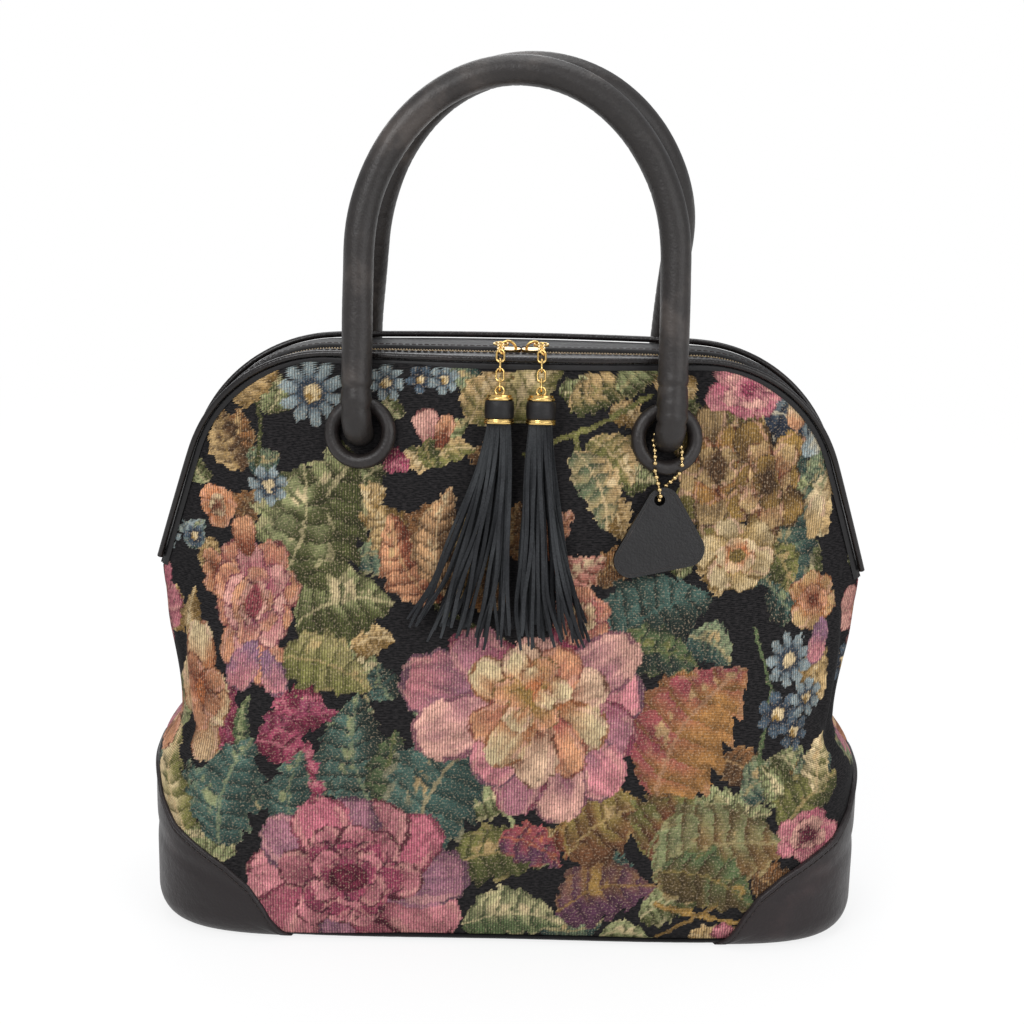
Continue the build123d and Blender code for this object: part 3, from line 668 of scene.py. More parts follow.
    @staticmethod
    def dress(
        piece, material: bpy.types.Material, body: str, slot: str, smooth: float = 0, crosses: bool = False
    ) -> None:
        """Give a piece its material and its body, and log it.

        Args:
            piece: the piece.
            material: its finish.
            body: the body that it rides on.
            slot: the name that its material goes by; not used.
            smooth: the angle in degrees under which edges are smoothed, or 0 to leave them.
            crosses: whether it crosses a joint, so that it rides on no single body.
        """
        piece.data.materials.clear()
        piece.data.materials.append(material)
        if smooth:
            Workshop.clear()
            piece.select_set(True)
            bpy.context.view_layer.objects.active = piece
            bpy.ops.object.shade_smooth_by_angle(angle=math.radians(smooth))
        if not crosses:
            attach(piece, body)
        LOG.info("made %s: %d faces, on %s", piece.name, len(piece.data.polygons), body)


def turned(place: np.ndarray, along: np.ndarray, up: np.ndarray) -> Matrix:
    """Return the transform that puts a small pattern at a place in millimetres, its X along and its Z up."""
    x = Vector(along).normalized()
    y = Vector(up).cross(x).normalized()
    z = x.cross(y)
    matrix = Matrix((x, y, z)).transposed().to_4x4()
    matrix.translation = Vector(place) * MM
    return matrix


@dataclass(frozen=True)
class Studio:
    """The camera at the photograph's angle, soft lamps, and a pale floor."""

    distance: float = 1.150
    height: float = 0.564
    pitch: float = 16.7
    roll: float = 1.2
    focal: float = 2256.0
    film: float = 36.0

    def picture(self, x, y, z) -> tuple[np.ndarray, np.ndarray]:
        """Return where a place in millimetres falls in the square picture."""
        low = math.radians(self.pitch)
        ahead, drop = np.asarray(y, float) + self.distance / MM, self.height / MM - np.asarray(z, float)
        depth = ahead * math.cos(low) + drop * math.sin(low)
        right = self.focal * np.asarray(x, float) / depth
        up = self.focal * (ahead * math.sin(low) - drop * math.cos(low)) / depth
        c, s = math.cos(math.radians(self.roll)), math.sin(math.radians(self.roll))
        return PICTURE / 2 + right * c + up * s, PICTURE / 2 - (up * c - right * s)

    def camera(self) -> None:
        """Add the camera."""
        data = bpy.data.cameras.new("camera")
        data.sensor_width = self.film
        data.lens = self.film * self.focal / PICTURE
        data.clip_start = 0.05
        camera = bpy.data.objects.new("camera", data)
        bpy.context.collection.objects.link(camera)
        level = Matrix.Rotation(math.radians(90 - self.pitch), 4, "X")
        lean = level @ Matrix.Rotation(math.radians(self.roll), 4, "Z")
        camera.matrix_world = Matrix.Translation((0, -self.distance, self.height)) @ lean
        bpy.context.scene.camera = camera

    def lamp(self, name: str, place: tuple[float, float, float], size: float, power: float) -> None:
        """Add a square soft lamp that faces the bag."""
        data = bpy.data.lights.new(name, "AREA")
        data.size, data.energy = size, power
        lamp = bpy.data.objects.new(name, data)
        bpy.context.collection.objects.link(lamp)
        lamp.location = place
        lamp.rotation_euler = (Vector((0, 0, 0.2)) - Vector(place)).to_track_quat("-Z", "Y").to_euler()

    def floor(self) -> None:
        """Add the floor, near white to the camera, with the bag's shadow kept."""
        Workshop.clear()
        bpy.ops.mesh.primitive_plane_add(size=14, location=(0, 0, -0.0006))
        floor = bpy.context.object
        floor.name = floor.data.name = "floor"
        finish = Finish("floor_paper")
        rays = finish.node("ShaderNodeLightPath")
        seen = finish.wire("ShaderNodeMath", {"operation": "MAXIMUM"}, {})
        finish.tree.links.new(rays.outputs["Is Camera Ray"], seen.socket.node.inputs[0])
        finish.tree.links.new(rays.outputs["Is Glossy Ray"], seen.socket.node.inputs[1])
        paper = finish.node("ShaderNodeBsdfDiffuse", {}, {"Color": (0.86, 0.86, 0.86, 1)})
        glow = finish.node("ShaderNodeEmission", {}, {"Color": (1, 1, 1, 1), "Strength": 1.0})
        where = finish.wire("ShaderNodeTexCoord", output="Object")
        far = finish.wire("ShaderNodeVectorMath", {"operation": "LENGTH"}, {0: where}, output="Value")
        both = finish.node("ShaderNodeMixShader", {}, {0: seen * (far.between(0.45, 1.3) * 0.18 + 0.82)})
        finish.tree.links.new(paper.outputs[0], both.inputs[1])
        finish.tree.links.new(glow.outputs[0], both.inputs[2])
        end = finish.node("ShaderNodeOutputMaterial")
        finish.tree.links.new(both.outputs[0], end.inputs[0])
        floor.data.materials.append(finish.material)

    def world(self) -> None:
        """Set a world that is white to the camera and a soft grey light to the rest."""
        world = bpy.data.worlds.new("studio")
        world.use_nodes = True
        bpy.context.scene.world = world
        tree = world.node_tree
        tree.nodes.clear()
        rays = tree.nodes.new("ShaderNodeLightPath")
        seen = tree.nodes.new("ShaderNodeMath")
        seen.operation = "MAXIMUM"
        tree.links.new(rays.outputs["Is Camera Ray"], seen.inputs[0])
        tree.links.new(rays.outputs["Is Transmission Ray"], seen.inputs[1])
        soft = tree.nodes.new("ShaderNodeBackground")
        soft.inputs[0].default_value = (0.95, 0.97, 1.0, 1)
        soft.inputs[1].default_value = 0.62
        white = tree.nodes.new("ShaderNodeBackground")
        white.inputs[0].default_value = (1, 1, 1, 1)
        both = tree.nodes.new("ShaderNodeMixShader")
        end = tree.nodes.new("ShaderNodeOutputWorld")
        tree.links.new(seen.outputs[0], both.inputs[0])
        tree.links.new(soft.outputs[0], both.inputs[1])
        tree.links.new(white.outputs[0], both.inputs[2])
        tree.links.new(both.outputs[0], end.inputs[0])

    def build(self) -> None:
        """Add everything."""
        self.camera()
        self.world()
        self.floor()
        self.lamp("key", (-0.9, -1.6, 1.7), 1.2, 27)
        self.lamp("fill", (1.3, -1.3, 0.9), 1.4, 13)
        self.lamp("top", (0.1, 0.3, 1.9), 1.3, 15)
        self.lamp("rear", (-0.4, 1.8, 1.1), 1.4, 12)
        bpy.context.scene.view_settings.view_transform = "Standard"


STUDIO = Studio()

CRIMSON, ROSE, PINK = tone(118, 44, 66), tone(176, 84, 108), tone(214, 140, 146)
BLUSH, MAUVE, PLUM = tone(232, 178, 162), tone(158, 118, 140), tone(104, 66, 88)
PEACH, ORANGE, RUST = tone(222, 162, 122), tone(198, 122, 78), tone(134, 74, 54)
CREAM, SAND, OCHRE = tone(232, 208, 164), tone(204, 172, 122), tone(168, 134, 74)
BRONZE, BROWN, OLIVE = tone(132, 104, 58), tone(96, 70, 46), tone(124, 122, 70)
MOSS, FERN, SAGE = tone(78, 82, 46), tone(92, 108, 72), tone(160, 164, 118)
TEAL, SPRUCE, PINE = tone(84, 112, 102), tone(56, 80, 74), tone(42, 56, 50)
SKY, DENIM, NAVY = tone(152, 164, 164), tone(88, 104, 116), tone(42, 52, 66)


@dataclass
class Weaver:
    """Lays woven shapes over the cloth, the last one on top, at places read in the picture's frame."""

    px: np.ndarray
    py: np.ndarray
    colour: np.ndarray = field(init=False)
    thread: np.ndarray = field(init=False)

    def __post_init__(self) -> None:
        """Start with bare ground and stepped edges."""
        self.colour = np.tile(tone(14, 13, 15), (len(self.px), 1))
        self.thread = np.zeros(len(self.px))
        step_x = (
            cloudy(self.px, self.py, 5.0, 1) * 1.5
            + (hashed(np.floor(self.px / 3), np.floor(self.py / 3), 2) - 0.5) * 2.2
        )
        step_y = (
            cloudy(self.px, self.py, 6.0, 3) * 1.6
            + (hashed(np.floor(self.px / 3), np.floor(self.py / 3), 4) - 0.5) * 1.6
        )
        self.px, self.py = self.px + step_x, self.py + step_y

    def near(self, x: float, y: float, reach: float) -> np.ndarray:
        """Return which places lie within reach."""
        return np.nonzero((np.abs(self.px - x) < reach) & (np.abs(self.py - y) < reach))[0]

    def lay(self, index: np.ndarray, inside: np.ndarray, colour: np.ndarray, thread: Thread) -> None:
        """Weave a colour into the places that are inside."""
        chosen = index[inside]
        speck = hashed(np.floor(self.px[chosen] / 2.2), np.floor(self.py[chosen] / 4.6), 11)
        patch = cloudy(self.px[chosen], self.py[chosen], 15, 12)
        light = 1 + 0.4 * (speck - 0.5) + 0.28 * patch
        shown = colour[inside] * light[:, None]
        self.colour[chosen] = np.clip(DYE_SHARE * shown ** 1.06, 0, 1)
        self.thread[chosen] = thread.value

    def leaf(
        self, start, end, width: float, light, dark, vein, lobes: int = 5, thread: Thread = Thread.LINES,
        bend: float = 0.12,
    ) -> None:
        """Weave a leaf.

        Args:
            start: where its stalk is.
            end: its tip.
            width: half its width.
            light: the colour of the side in the light.
            dark: the colour of the other side.
            vein: the colour of its veins.
            lobes: how many points each edge has.
            thread: how it is woven.
            bend: how far its middle curves, as a share of its length.
        """
        x0, y0 = start
        width = width * 1.14
        length = math.hypot(end[0] - x0, end[1] - y0)
        index = self.near((x0 + end[0]) / 2, (y0 + end[1]) / 2, length / 2 + width * 1.6)
        dx, dy = (end[0] - x0) / length, (end[1] - y0) / length
        x, y = self.px[index] - x0, self.py[index] - y0
        t = (x * dx + y * dy) / length
        s = x * dy - y * dx - bend * length * np.sin(np.pi * np.clip(t, 0, 1))
        body = np.sin(np.pi * np.clip(t, 0, 1) ** 0.72) ** 0.75
        notch = np.abs(((t * lobes + 0.25 * np.sign(s)) % 1.0) - 0.15)
        half = width * body * (1.06 - 0.3 * notch)
        share = s / np.maximum(half, 0.01)
        inside = (t > 0) & (t < 1) & (np.abs(share) < 1)
        patch = cloudy(x, y, width * 0.55, lobes)
        small = cloudy(x * 1.0, y * 0.5, 4.2, lobes + 3)
        side = (t * lobes * 1.25 - np.abs(share) * 0.62 + patch * 0.07) % 1.0
        tilt = eased(share * 0.8 + patch * 0.6 + (side - 0.5) * 0.7, -0.7, 0.7)[:, None]
        colour = mix(np.broadcast_to(dark, (len(index), 3)), light, tilt)
        colour = colour * mix(0.66, 1.1, eased(side, 0.04, 0.5)[:, None])
        fringe = (side < 0.12) & (np.abs(share) < 0.8)
        colour = mix(colour, dark * 0.62, (0.6 * fringe)[:, None])
        glow = (
            eased(0.62 - np.abs(share - 0.28) * 1.5 + patch * 0.5 + small * 0.5, 0.45, 0.75)
            * eased(t, 0.12, 0.4)
        )
        colour = mix(colour, vein, (0.85 * glow * (side > 0.3))[:, None])
        colour = mix(colour, mix(vein, light, 0.45), (0.8 * (np.abs(s) < max(1.2, width * 0.035)))[:, None])
        rim = (np.abs(share) > 0.84) & (patch + small * 0.6 > 0.05)
        colour = mix(colour, mix(vein, light, 0.5), (0.55 * rim)[:, None])
        shade_rim = (np.abs(share) > 0.8) & (patch < -0.15)
        colour = mix(colour, dark * 0.5, (0.6 * shade_rim)[:, None])
        self.lay(index, inside, colour, thread)

    def petal(
        self, x: float, y: float, angle: float, length: float, width: float, base, tip,
        thread: Thread = Thread.RIBS, seed: int = 0,
    ) -> None:
        """Weave one petal that grows from a place at an angle, in degrees, 0 to the right and 90 up."""
        turn = math.radians(angle)
        dx, dy = math.cos(turn), -math.sin(turn)
        index = self.near(x + dx * length / 2, y + dy * length / 2, length / 2 + width * 1.3)
        u, v = self.px[index] - x, self.py[index] - y
        ruffle = cloudy(u + seed * 9, v, 13, seed) * 0.1
        t = (u * dx + v * dy) / length
        s = u * dy - v * dx
        half = (
            width * np.clip(t, 0, 1) ** 0.45 * np.sqrt(np.clip(1 - np.clip(t, 0, 1) ** 3.4, 0, 1))
            * (1 + ruffle)
        )
        share = s / np.maximum(half, 0.01)
        inside = (t > 0) & (t < 1 + ruffle * 0.3) & (np.abs(share) < 1)
        streak = cloudy(share * 26 + seed, t * 3, 3.4, seed + 5)
        patch = cloudy(u, v, width * 0.6, seed + 2)
        rise = eased(t + patch * 0.22 + streak * 0.16, 0.12, 0.95)[:, None]
        colour = mix(np.broadcast_to(base, (len(index), 3)), tip, rise)
        colour = colour * (1 + 0.18 * streak[:, None])
        colour = colour * (0.8 + 0.3 * ((seed * 0.618) % 1.0))
        edge = (np.abs(share) > 0.86) | (t > 0.94)
        colour = np.where((edge & (patch < 0.3))[:, None], mix(colour, base, 0.8) * 0.56, colour)
        glint = (np.abs(share) > 0.62) & (np.abs(share) < 0.84) & (t > 0.45) & (patch > -0.2)
        colour = np.where(glint[:, None], mix(colour, BLUSH * 1.05, 0.35), colour)
        self.lay(index, inside, colour, thread)

    def bloom(self, x: float, y: float, wide: float, tall: float, rings: list, seed: int, eye=None) -> None:
        """Weave a flower.

        Args:
            x: its middle across the picture.
            y: its middle down the picture.
            wide: half its width.
            tall: half its height.
            rings: from the outside in, (share of its size, petals, base colour, tip colour).
            seed: what makes it differ from the others.
            eye: the colour of its heart.
        """
        rng = np.random.default_rng(seed)
        for place, (size, petals, base, tip) in enumerate(rings):
            first = rng.uniform(0, 360)
            order = rng.permutation(petals)
            for petal in order:
                angle = first + 360 * petal / petals + rng.uniform(-9, 9)
                turn = math.radians(angle)
                reach = size * rng.uniform(0.9, 1.08)
                length = math.hypot(wide * math.cos(turn), tall * math.sin(turn)) * reach
                across = 0.5 * (wide + tall) * size * math.sin(math.pi / petals) * rng.uniform(1.05, 1.3)
                tint = rng.uniform(0, 1)
                self.petal(
                    x, y, angle, length, across, base, mix(tip, base, 0.35 * tint), Thread.RIBS,
                    seed * 10 + place * 3 + int(petal),
                )
        if eye is not None:
            index = self.near(x, y, wide)
            u, v = (self.px[index] - x) / wide, (self.py[index] - y) / tall
            turn = np.arctan2(v, u)
            coil = (np.hypot(u, v) * 9 + turn / math.tau + cloudy(u * 40, v * 40, 9, seed) * 0.25) % 1.0
            near = np.hypot(u, v) < 0.2
            colour = mix(np.broadcast_to(eye, (len(index), 3)), eye * 0.4, eased(coil, 0.4, 0.9)[:, None])
            self.lay(index, near, colour, Thread.RIBS)

    def daisy(self, x: float, y: float, radius: float, outer, inner, petals: int, heart=OCHRE) -> None:
        """Weave a small many petalled flower."""
        index = self.near(x, y, radius * 1.1)
        u, v = self.px[index] - x, self.py[index] - y
        turn, far = np.arctan2(v, u), np.hypot(u, v) / radius
        wave = np.abs(np.cos(turn * petals / 2 + x))
        inside = far < 0.5 + 0.48 * wave**0.6
        rise = eased(far + 0.35 * wave, 0.45, 1.15)[:, None]
        colour = mix(np.broadcast_to(outer, (len(index), 3)), inner, rise)
        colour = np.where((wave < 0.3)[:, None], colour * 0.45, colour)
        colour = np.where((far < 0.42)[:, None], mix(NAVY, outer, 0.3), colour)
        colour = np.where(
            (far < 0.27)[:, None], np.where((cloudy(u, v, 2.5, 5) > 0)[:, None], heart, CREAM), colour
        )
        self.lay(index, inside, colour, Thread.RIBS)

    def stem(self, points: list, width: float, colour) -> None:
        """Weave a stem through places."""
        for (x0, y0), (x1, y1) in zip(points, points[1:]):
            index = self.near((x0 + x1) / 2, (y0 + y1) / 2, math.hypot(x1 - x0, y1 - y0) / 2 + width)
            length = math.hypot(x1 - x0, y1 - y0)
            t = np.clip(
                ((self.px[index] - x0) * (x1 - x0) + (self.py[index] - y0) * (y1 - y0)) / length**2, 0, 1
            )
            far = np.hypot(self.px[index] - x0 - t * (x1 - x0), self.py[index] - y0 - t * (y1 - y0))
            shown = np.broadcast_to(colour, (len(index), 3)) * (0.8 + 0.4 * (far < width * 0.4))[:, None]
            self.lay(index, far < width, shown, Thread.LINES)

    def leaves(self) -> None:
        """Weave the stems and leaves behind the flowers."""
        self.stem([(372, 560), (440, 610), (505, 640)], 3, MOSS)
        for place, (x, y, angle, length, width, look) in enumerate(self.sprays()):
            turn = math.radians(angle)
            light, dark, vein = look
            tip = (x + length * math.cos(turn), y - length * math.sin(turn))
            self.leaf(
                (x, y), tip, width, light, dark, vein, 4 + place % 3, (Thread.LINES, Thread.RIBS)[place % 2],
                0.14 - 0.28 * (place % 2),
            )
        stems = [
            ([(525, 455), (560, 440), (600, 425), (650, 398)], 3.4, OLIVE),
            ([(575, 435), (585, 470), (600, 520)], 3, OLIVE),
            ([(250, 480), (256, 430), (250, 400)], 2.6, MOSS),
            ([(655, 905), (690, 915), (735, 925), (770, 912)], 3, OCHRE),
            ([(655, 940), (700, 915), (740, 895)], 2.5, BRONZE),
            ([(760, 640), (775, 700), (760, 770)], 2.6, FERN),
            ([(500, 800), (520, 840), (545, 865)], 3.2, SAGE),
        ]
        for points, width, colour in stems:
            self.stem(points, width, colour)
        for start, end, width, light, dark, *rest in self.main_leaves():
            self.leaf(start, end, width, light, dark, *rest)

    @staticmethod
    def main_leaves() -> list:
        """Return the main leaves, each with what leaf() takes."""
        return [
            ((228, 412), (278, 376), 17, SAND, BRONZE, OCHRE, 4),
            ((232, 484), (214, 418), 18, SAND, BROWN, OCHRE, 5),
            ((168, 574), (190, 540), 14, SKY, SPRUCE, SAGE, 4),
            ((180, 840), (158, 752), 24, CREAM, OLIVE, SAND, 5),
            ((292, 630), (392, 604), 38, mix(SAGE, OLIVE, 0.35), MOSS, CREAM, 5, Thread.RIBS),
            ((280, 592), (352, 462), 54, mix(SAGE, OLIVE, 0.35), MOSS, CREAM, 6, Thread.RIBS, 0.04),
            ((276, 590), (300, 470), 34, mix(SAGE, OLIVE, 0.2), MOSS, CREAM, 5, Thread.LINES, -0.1),
            ((276, 662), (372, 692), 27, mix(SAGE, OCHRE, 0.4), OLIVE, SAND, 5, Thread.RIBS),
            ((300, 700), (262, 742), 16, SAGE, OLIVE, SAND, 4),
            ((258, 748), (338, 712), 19, mix(ROSE, PLUM, 0.4), CRIMSON, ROSE, 5),
            ((254, 742), (326, 782), 17, ROSE, CRIMSON, PINK, 5),
            ((292, 716), (280, 690), 14, ROSE, CRIMSON, PINK, 4),
            ((238, 772), (228, 688), 14, ROSE, CRIMSON, PLUM, 4),
            ((250, 772), (246, 700), 9, FERN, PINE, SAGE, 4),
            ((218, 848), (252, 742), 34, TEAL, SPRUCE, SAGE, 6),
            ((296, 836), (302, 752), 22, TEAL, SPRUCE, SAGE, 5),
            ((374, 808), (358, 694), 36, TEAL, PINE, SAGE, 6),
            ((404, 812), (396, 730), 24, FERN, PINE, OLIVE, 5),
            ((412, 846), (492, 734), 46, TEAL, SPRUCE, SAND, 6),
            ((448, 868), (548, 862), 27, OLIVE, MOSS, SAND, 5),
            ((462, 926), (564, 926), 25, mix(SAGE, CREAM, 0.3), FERN, CREAM, 5, Thread.RIBS),
            ((500, 838), (562, 868), 20, mix(ROSE, RUST, 0.5), PLUM, ORANGE, 4),
            ((556, 912), (656, 888), 31, mix(RUST, OLIVE, 0.4), PLUM, OCHRE, 5),
            ((556, 830), (604, 846), 26, OCHRE, RUST, SAND, 4),
            ((568, 856), (654, 806), 33, mix(OLIVE, OCHRE, 0.5), mix(RUST, MOSS, 0.4), SAND, 5),
            ((600, 652), (716, 606), 40, mix(SPRUCE, TEAL, 0.4), PINE, TEAL, 6),
            ((606, 660), (700, 668), 24, FERN, PINE, OLIVE, 5),
            ((654, 800), (748, 672), 50, mix(RUST, ROSE, 0.45), mix(OCHRE, ORANGE, 0.35), SAND, 6),
            ((646, 858), (700, 802), 34, OLIVE, mix(RUST, BROWN, 0.4), SAGE, 5),
            ((652, 876), (790, 850), 46, mix(SAGE, FERN, 0.35), mix(RUST, OLIVE, 0.45), SAND, 7),
            ((660, 872), (756, 912), 28, FERN, mix(BROWN, MOSS, 0.4), OCHRE, 5),
            ((782, 838), (848, 788), 24, OLIVE, MOSS, SAND, 5),
            ((820, 800), (842, 752), 14, CREAM, OLIVE, SAND, 4),
            ((470, 424), (512, 372), 20, SAND, OLIVE, CREAM, 4),
            ((510, 420), (566, 366), 20, mix(SAGE, SAND, 0.5), OLIVE, CREAM, 4),
            ((570, 410), (640, 388), 18, SAND, MOSS, OLIVE, 5),
            ((620, 392), (664, 366), 18, SAGE, MOSS, SAND, 4),
            ((590, 440), (632, 488), 22, SAND, OLIVE, CREAM, 5),
            ((576, 452), (606, 534), 21, SAND, mix(TEAL, OLIVE, 0.5), CREAM, 5),
            ((436, 606), (390, 514), 24, PEACH, RUST, SAND, 6, Thread.RIBS),
            ((444, 596), (452, 488), 22, mix(PEACH, SAND, 0.5), BROWN, CREAM, 6, Thread.RIBS),
            ((460, 560), (488, 508), 14, SAND, BROWN, OCHRE, 4),
            ((540, 560), (574, 512), 18, PEACH, RUST, BLUSH, 4),
            ((560, 600), (606, 560), 20, mix(PINK, PEACH, 0.5), RUST, CREAM, 4),
            ((770, 420), (838, 452), 26, SKY, NAVY, CREAM, 5),
            ((800, 606), (820, 500), 32, mix(TEAL, SAGE, 0.4), SPRUCE, SAND, 6),
            ((776, 560), (800, 610), 18, OLIVE, MOSS, SAND, 4),
            ((838, 560), (846, 480), 14, CREAM, SAND, SAGE, 4),
        ]

    @staticmethod
    def sprays() -> list:
        """Return the smaller leaves: where each starts, its angle, length, half width and colours."""
        olive, sage = (SAGE, MOSS, CREAM), (mix(SAGE, TEAL, 0.4), SPRUCE, SAND)
        teal, gold = (TEAL, PINE, SAGE), (SAND, BRONZE, CREAM)
        rust, wine = (mix(RUST, OCHRE, 0.4), BROWN, SAND), (ROSE, CRIMSON, PINK)
        front = [
            (342, 540, 62, 84, 30, olive), (336, 508, 20, 52, 20, gold), (296, 512, 140, 50, 20, sage),
            (332, 476, 84, 34, 15, olive), (356, 560, -8, 52, 22, sage), (326, 640, -28, 66, 22, olive),
            (352, 650, 12, 44, 16, gold), (330, 742, 50, 60, 20, sage), (392, 700, 110, 40, 17, teal),
            (420, 720, 60, 48, 18, sage), (470, 810, 10, 52, 18, olive), (428, 790, 96, 62, 22, teal),
            (310, 790, 30, 58, 20, sage), (338, 800, 74, 52, 16, olive), (262, 812, 110, 60, 22, sage),
            (212, 780, 74, 62, 22, olive), (205, 820, 112, 54, 18, teal), (236, 852, 168, 58, 20, olive),
            (182, 664, 96, 52, 16, gold), (175, 700, 250, 60, 17, olive), (300, 668, 160, 42, 16, rust),
            (322, 700, 196, 44, 15, wine), (286, 792, 4, 40, 14, wine), (640, 640, 40, 60, 26, teal),
            (690, 640, -34, 52, 20, sage), (660, 690, 20, 46, 18, rust), (720, 760, -38, 50, 20, rust),
            (700, 800, -12, 74, 22, olive), (742, 800, 24, 58, 20, sage), (752, 872, -20, 58, 20, rust),
            (640, 920, 16, 66, 18, olive), (690, 936, 2, 56, 14, gold), (590, 862, -40, 56, 18, teal),
            (540, 930, 8, 64, 17, sage), (600, 940, -4, 52, 13, olive), (520, 850, 30, 44, 15, gold),
            (560, 788, -20, 62, 20, olive), (612, 790, -62, 50, 18, rust), (630, 740, -18, 44, 16, sage),
            (396, 560, 120, 60, 22, gold), (418, 560, 62, 66, 20, rust), (462, 600, 70, 58, 20, gold),
            (500, 610, 118, 52, 18, rust), (590, 580, 40, 52, 18, rust), (600, 500, -62, 48, 17, gold),
            (620, 470, -20, 40, 15, olive), (540, 400, 150, 58, 18, gold), (560, 392, 12, 62, 17, olive),
            (610, 410, -30, 40, 14, gold), (480, 380, 176, 36, 14, sage), (470, 450, -40, 36, 14, rust),
            (410, 462, 200, 30, 12, wine), (400, 420, 120, 30, 12, olive), (262, 420, 70, 44, 15, olive),
            (240, 400, 150, 34, 13, gold), (214, 470, 70, 56, 19, rust), (196, 500, 120, 36, 13, olive),
            (236, 470, 10, 42, 14, sage), (232, 540, 60, 44, 16, rust), (190, 560, -60, 44, 15, gold),
            (690, 430, 96, 46, 19, olive), (698, 540, 250, 50, 19, olive), (706, 560, -70, 52, 17, gold),
            (760, 560, -60, 48, 17, sage), (764, 440, 66, 56, 20, gold), (790, 520, 84, 66, 20, sage),
            (802, 540, 60, 56, 18, olive), (780, 600, -40, 52, 18, teal), (790, 396, -30, 44, 16, gold),
            (822, 500, 76, 56, 17, sage), (830, 600, 92, 44, 15, olive), (830, 660, -84, 60, 16, gold),
            (776, 760, -50, 58, 18, olive), (820, 770, 250, 48, 16, gold), (800, 800, 30, 56, 18, sage),
            (786, 812, 120, 48, 17, olive), (700, 392, 164, 50, 17, gold), (724, 372, 8, 52, 16, rust),
            (520, 560, 90, 60, 16, rust), (552, 640, 30, 50, 18, wine),
        ]
        left_seam, right_seam, overlap = 158, 862, 12
        left, right = [], []
        for x, y, angle, length, width, look in front[::2]:
            if x < 290:
                left.append((2 * left_seam - x + overlap, y, 180 - angle, length, width, look))
            if x > 730:
                right.append((2 * right_seam - x - overlap, y, 180 - angle, length, width, look))
        return left + right + front

    def side_flowers(self) -> None:
        """Weave the flowers that come round the side seams."""
        self.bloom(118, 640, 34, 52, [(1.0, 7, ROSE, PINK), (0.6, 6, CRIMSON, BLUSH)], 21, CRIMSON)
        self.bloom(122, 742, 32, 42, [(1.0, 6, RUST, PEACH), (0.55, 5, ORANGE, CREAM)], 22, RUST)
        self.daisy(140, 560, 20, DENIM, SKY, 8)
        self.bloom(902, 648, 34, 48, [(1.0, 7, mix(ROSE, RUST, 0.4), BLUSH), (0.6, 6, ROSE, PEACH)], 23, RUST)
        self.bloom(904, 760, 34, 42, [(1.0, 7, MAUVE, PINK), (0.58, 5, CRIMSON, PINK)], 24, CRIMSON)
        self.daisy(880, 700, 20, NAVY, DENIM, 8)

    @staticmethod
    def daisies() -> list:
        """Return the small blue flowers, each with what daisy() takes."""
        return [
            (310, 397, 35, DENIM, SKY, 10, OCHRE), (386, 384, 19, DENIM, SKY, 7, OCHRE),
            (420, 380, 15, NAVY, DENIM, 5, OCHRE), (444, 380, 16, DENIM, SKY, 6, OCHRE),
            (262, 496, 22, DENIM, SKY, 7, CREAM), (176, 560, 14, NAVY, DENIM, 6, OCHRE),
            (782, 722, 24, NAVY, DENIM, 7, OCHRE), (815, 712, 20, DENIM, SKY, 7, OCHRE),
            (800, 742, 18, NAVY, DENIM, 6, OCHRE), (796, 672, 27, DENIM, SKY, 9, CREAM),
        ]

    def flowers(self) -> None:
        """Weave the flowers."""
        self.side_flowers()
        self.bloom(190, 708, 26, 66, [(1.0, 6, ORANGE, CREAM), (0.62, 5, RUST, PEACH)], 3, ORANGE)
        self.bloom(205, 522, 19, 24, [(1.0, 5, ORANGE, PEACH), (0.5, 4, RUST, CREAM)], 4)
        self.bloom(200, 590, 14, 26, [(1.0, 5, RUST, PEACH)], 8)
        self.bloom(
            246, 616, 43, 76,
            [
                (1.0, 8, mix(ROSE, RUST, 0.4), PEACH), (0.74, 7, ROSE, BLUSH),
                (0.5, 6, mix(PLUM, ROSE, 0.4), PEACH), (0.3, 4, RUST, BLUSH),
            ],
            5, mix(ROSE, RUST, 0.5),
        )
        self.petal(250, 650, 245, 52, 22, MAUVE, PINK, seed=31)
        self.petal(262, 656, 290, 46, 18, MAUVE, PINK, seed=32)
        self.petal(238, 572, 100, 42, 20, RUST, PEACH, seed=33)
        for daisy in self.daisies():
            self.daisy(*daisy)
        self.leaf((436, 462), (404, 450), 13, SAND, MOSS, CREAM, 3)
        self.leaf((436, 466), (470, 418), 13, SAGE, MOSS, SAND, 4)
        self.leaf((432, 462), (478, 448), 12, SAND, OLIVE, CREAM, 3)
        self.petal(434, 452, 104, 44, 20, mix(RUST, ROSE, 0.5), BLUSH, seed=6)
        self.petal(438, 450, 74, 36, 13, RUST, PEACH, seed=7)
        self.leaf((434, 470), (430, 436), 10, OLIVE, MOSS, SAND, 3)
        self.bloom(
            720, 474, 42, 84,
            [(1.0, 8, BRONZE, OLIVE), (0.8, 7, BROWN, SAND), (0.55, 6, RUST, OCHRE), (0.34, 4, BROWN, SAND)],
            7, BROWN,
        )
        self.bloom(
            774, 492, 30, 70, [(1.0, 7, BROWN, OCHRE), (0.72, 6, RUST, SAND), (0.42, 4, BROWN, OCHRE)], 9,
            BROWN,
        )
        self.bloom(
            742, 566, 44, 40, [(1.0, 6, OCHRE, CREAM), (0.5, 5, ORANGE, CREAM)], 10, mix(OCHRE, MOSS, 0.4)
        )
        self.bloom(
            752, 394, 46, 32,
            [(1.0, 7, ROSE, PINK), (0.66, 6, mix(ROSE, PLUM, 0.4), BLUSH), (0.36, 4, ROSE, PINK)], 11, ROSE,
        )
        self.petal(800, 440, 70, 36, 18, PEACH, CREAM, seed=41)
        self.petal(812, 470, 50, 42, 18, SKY, CREAM, seed=42)
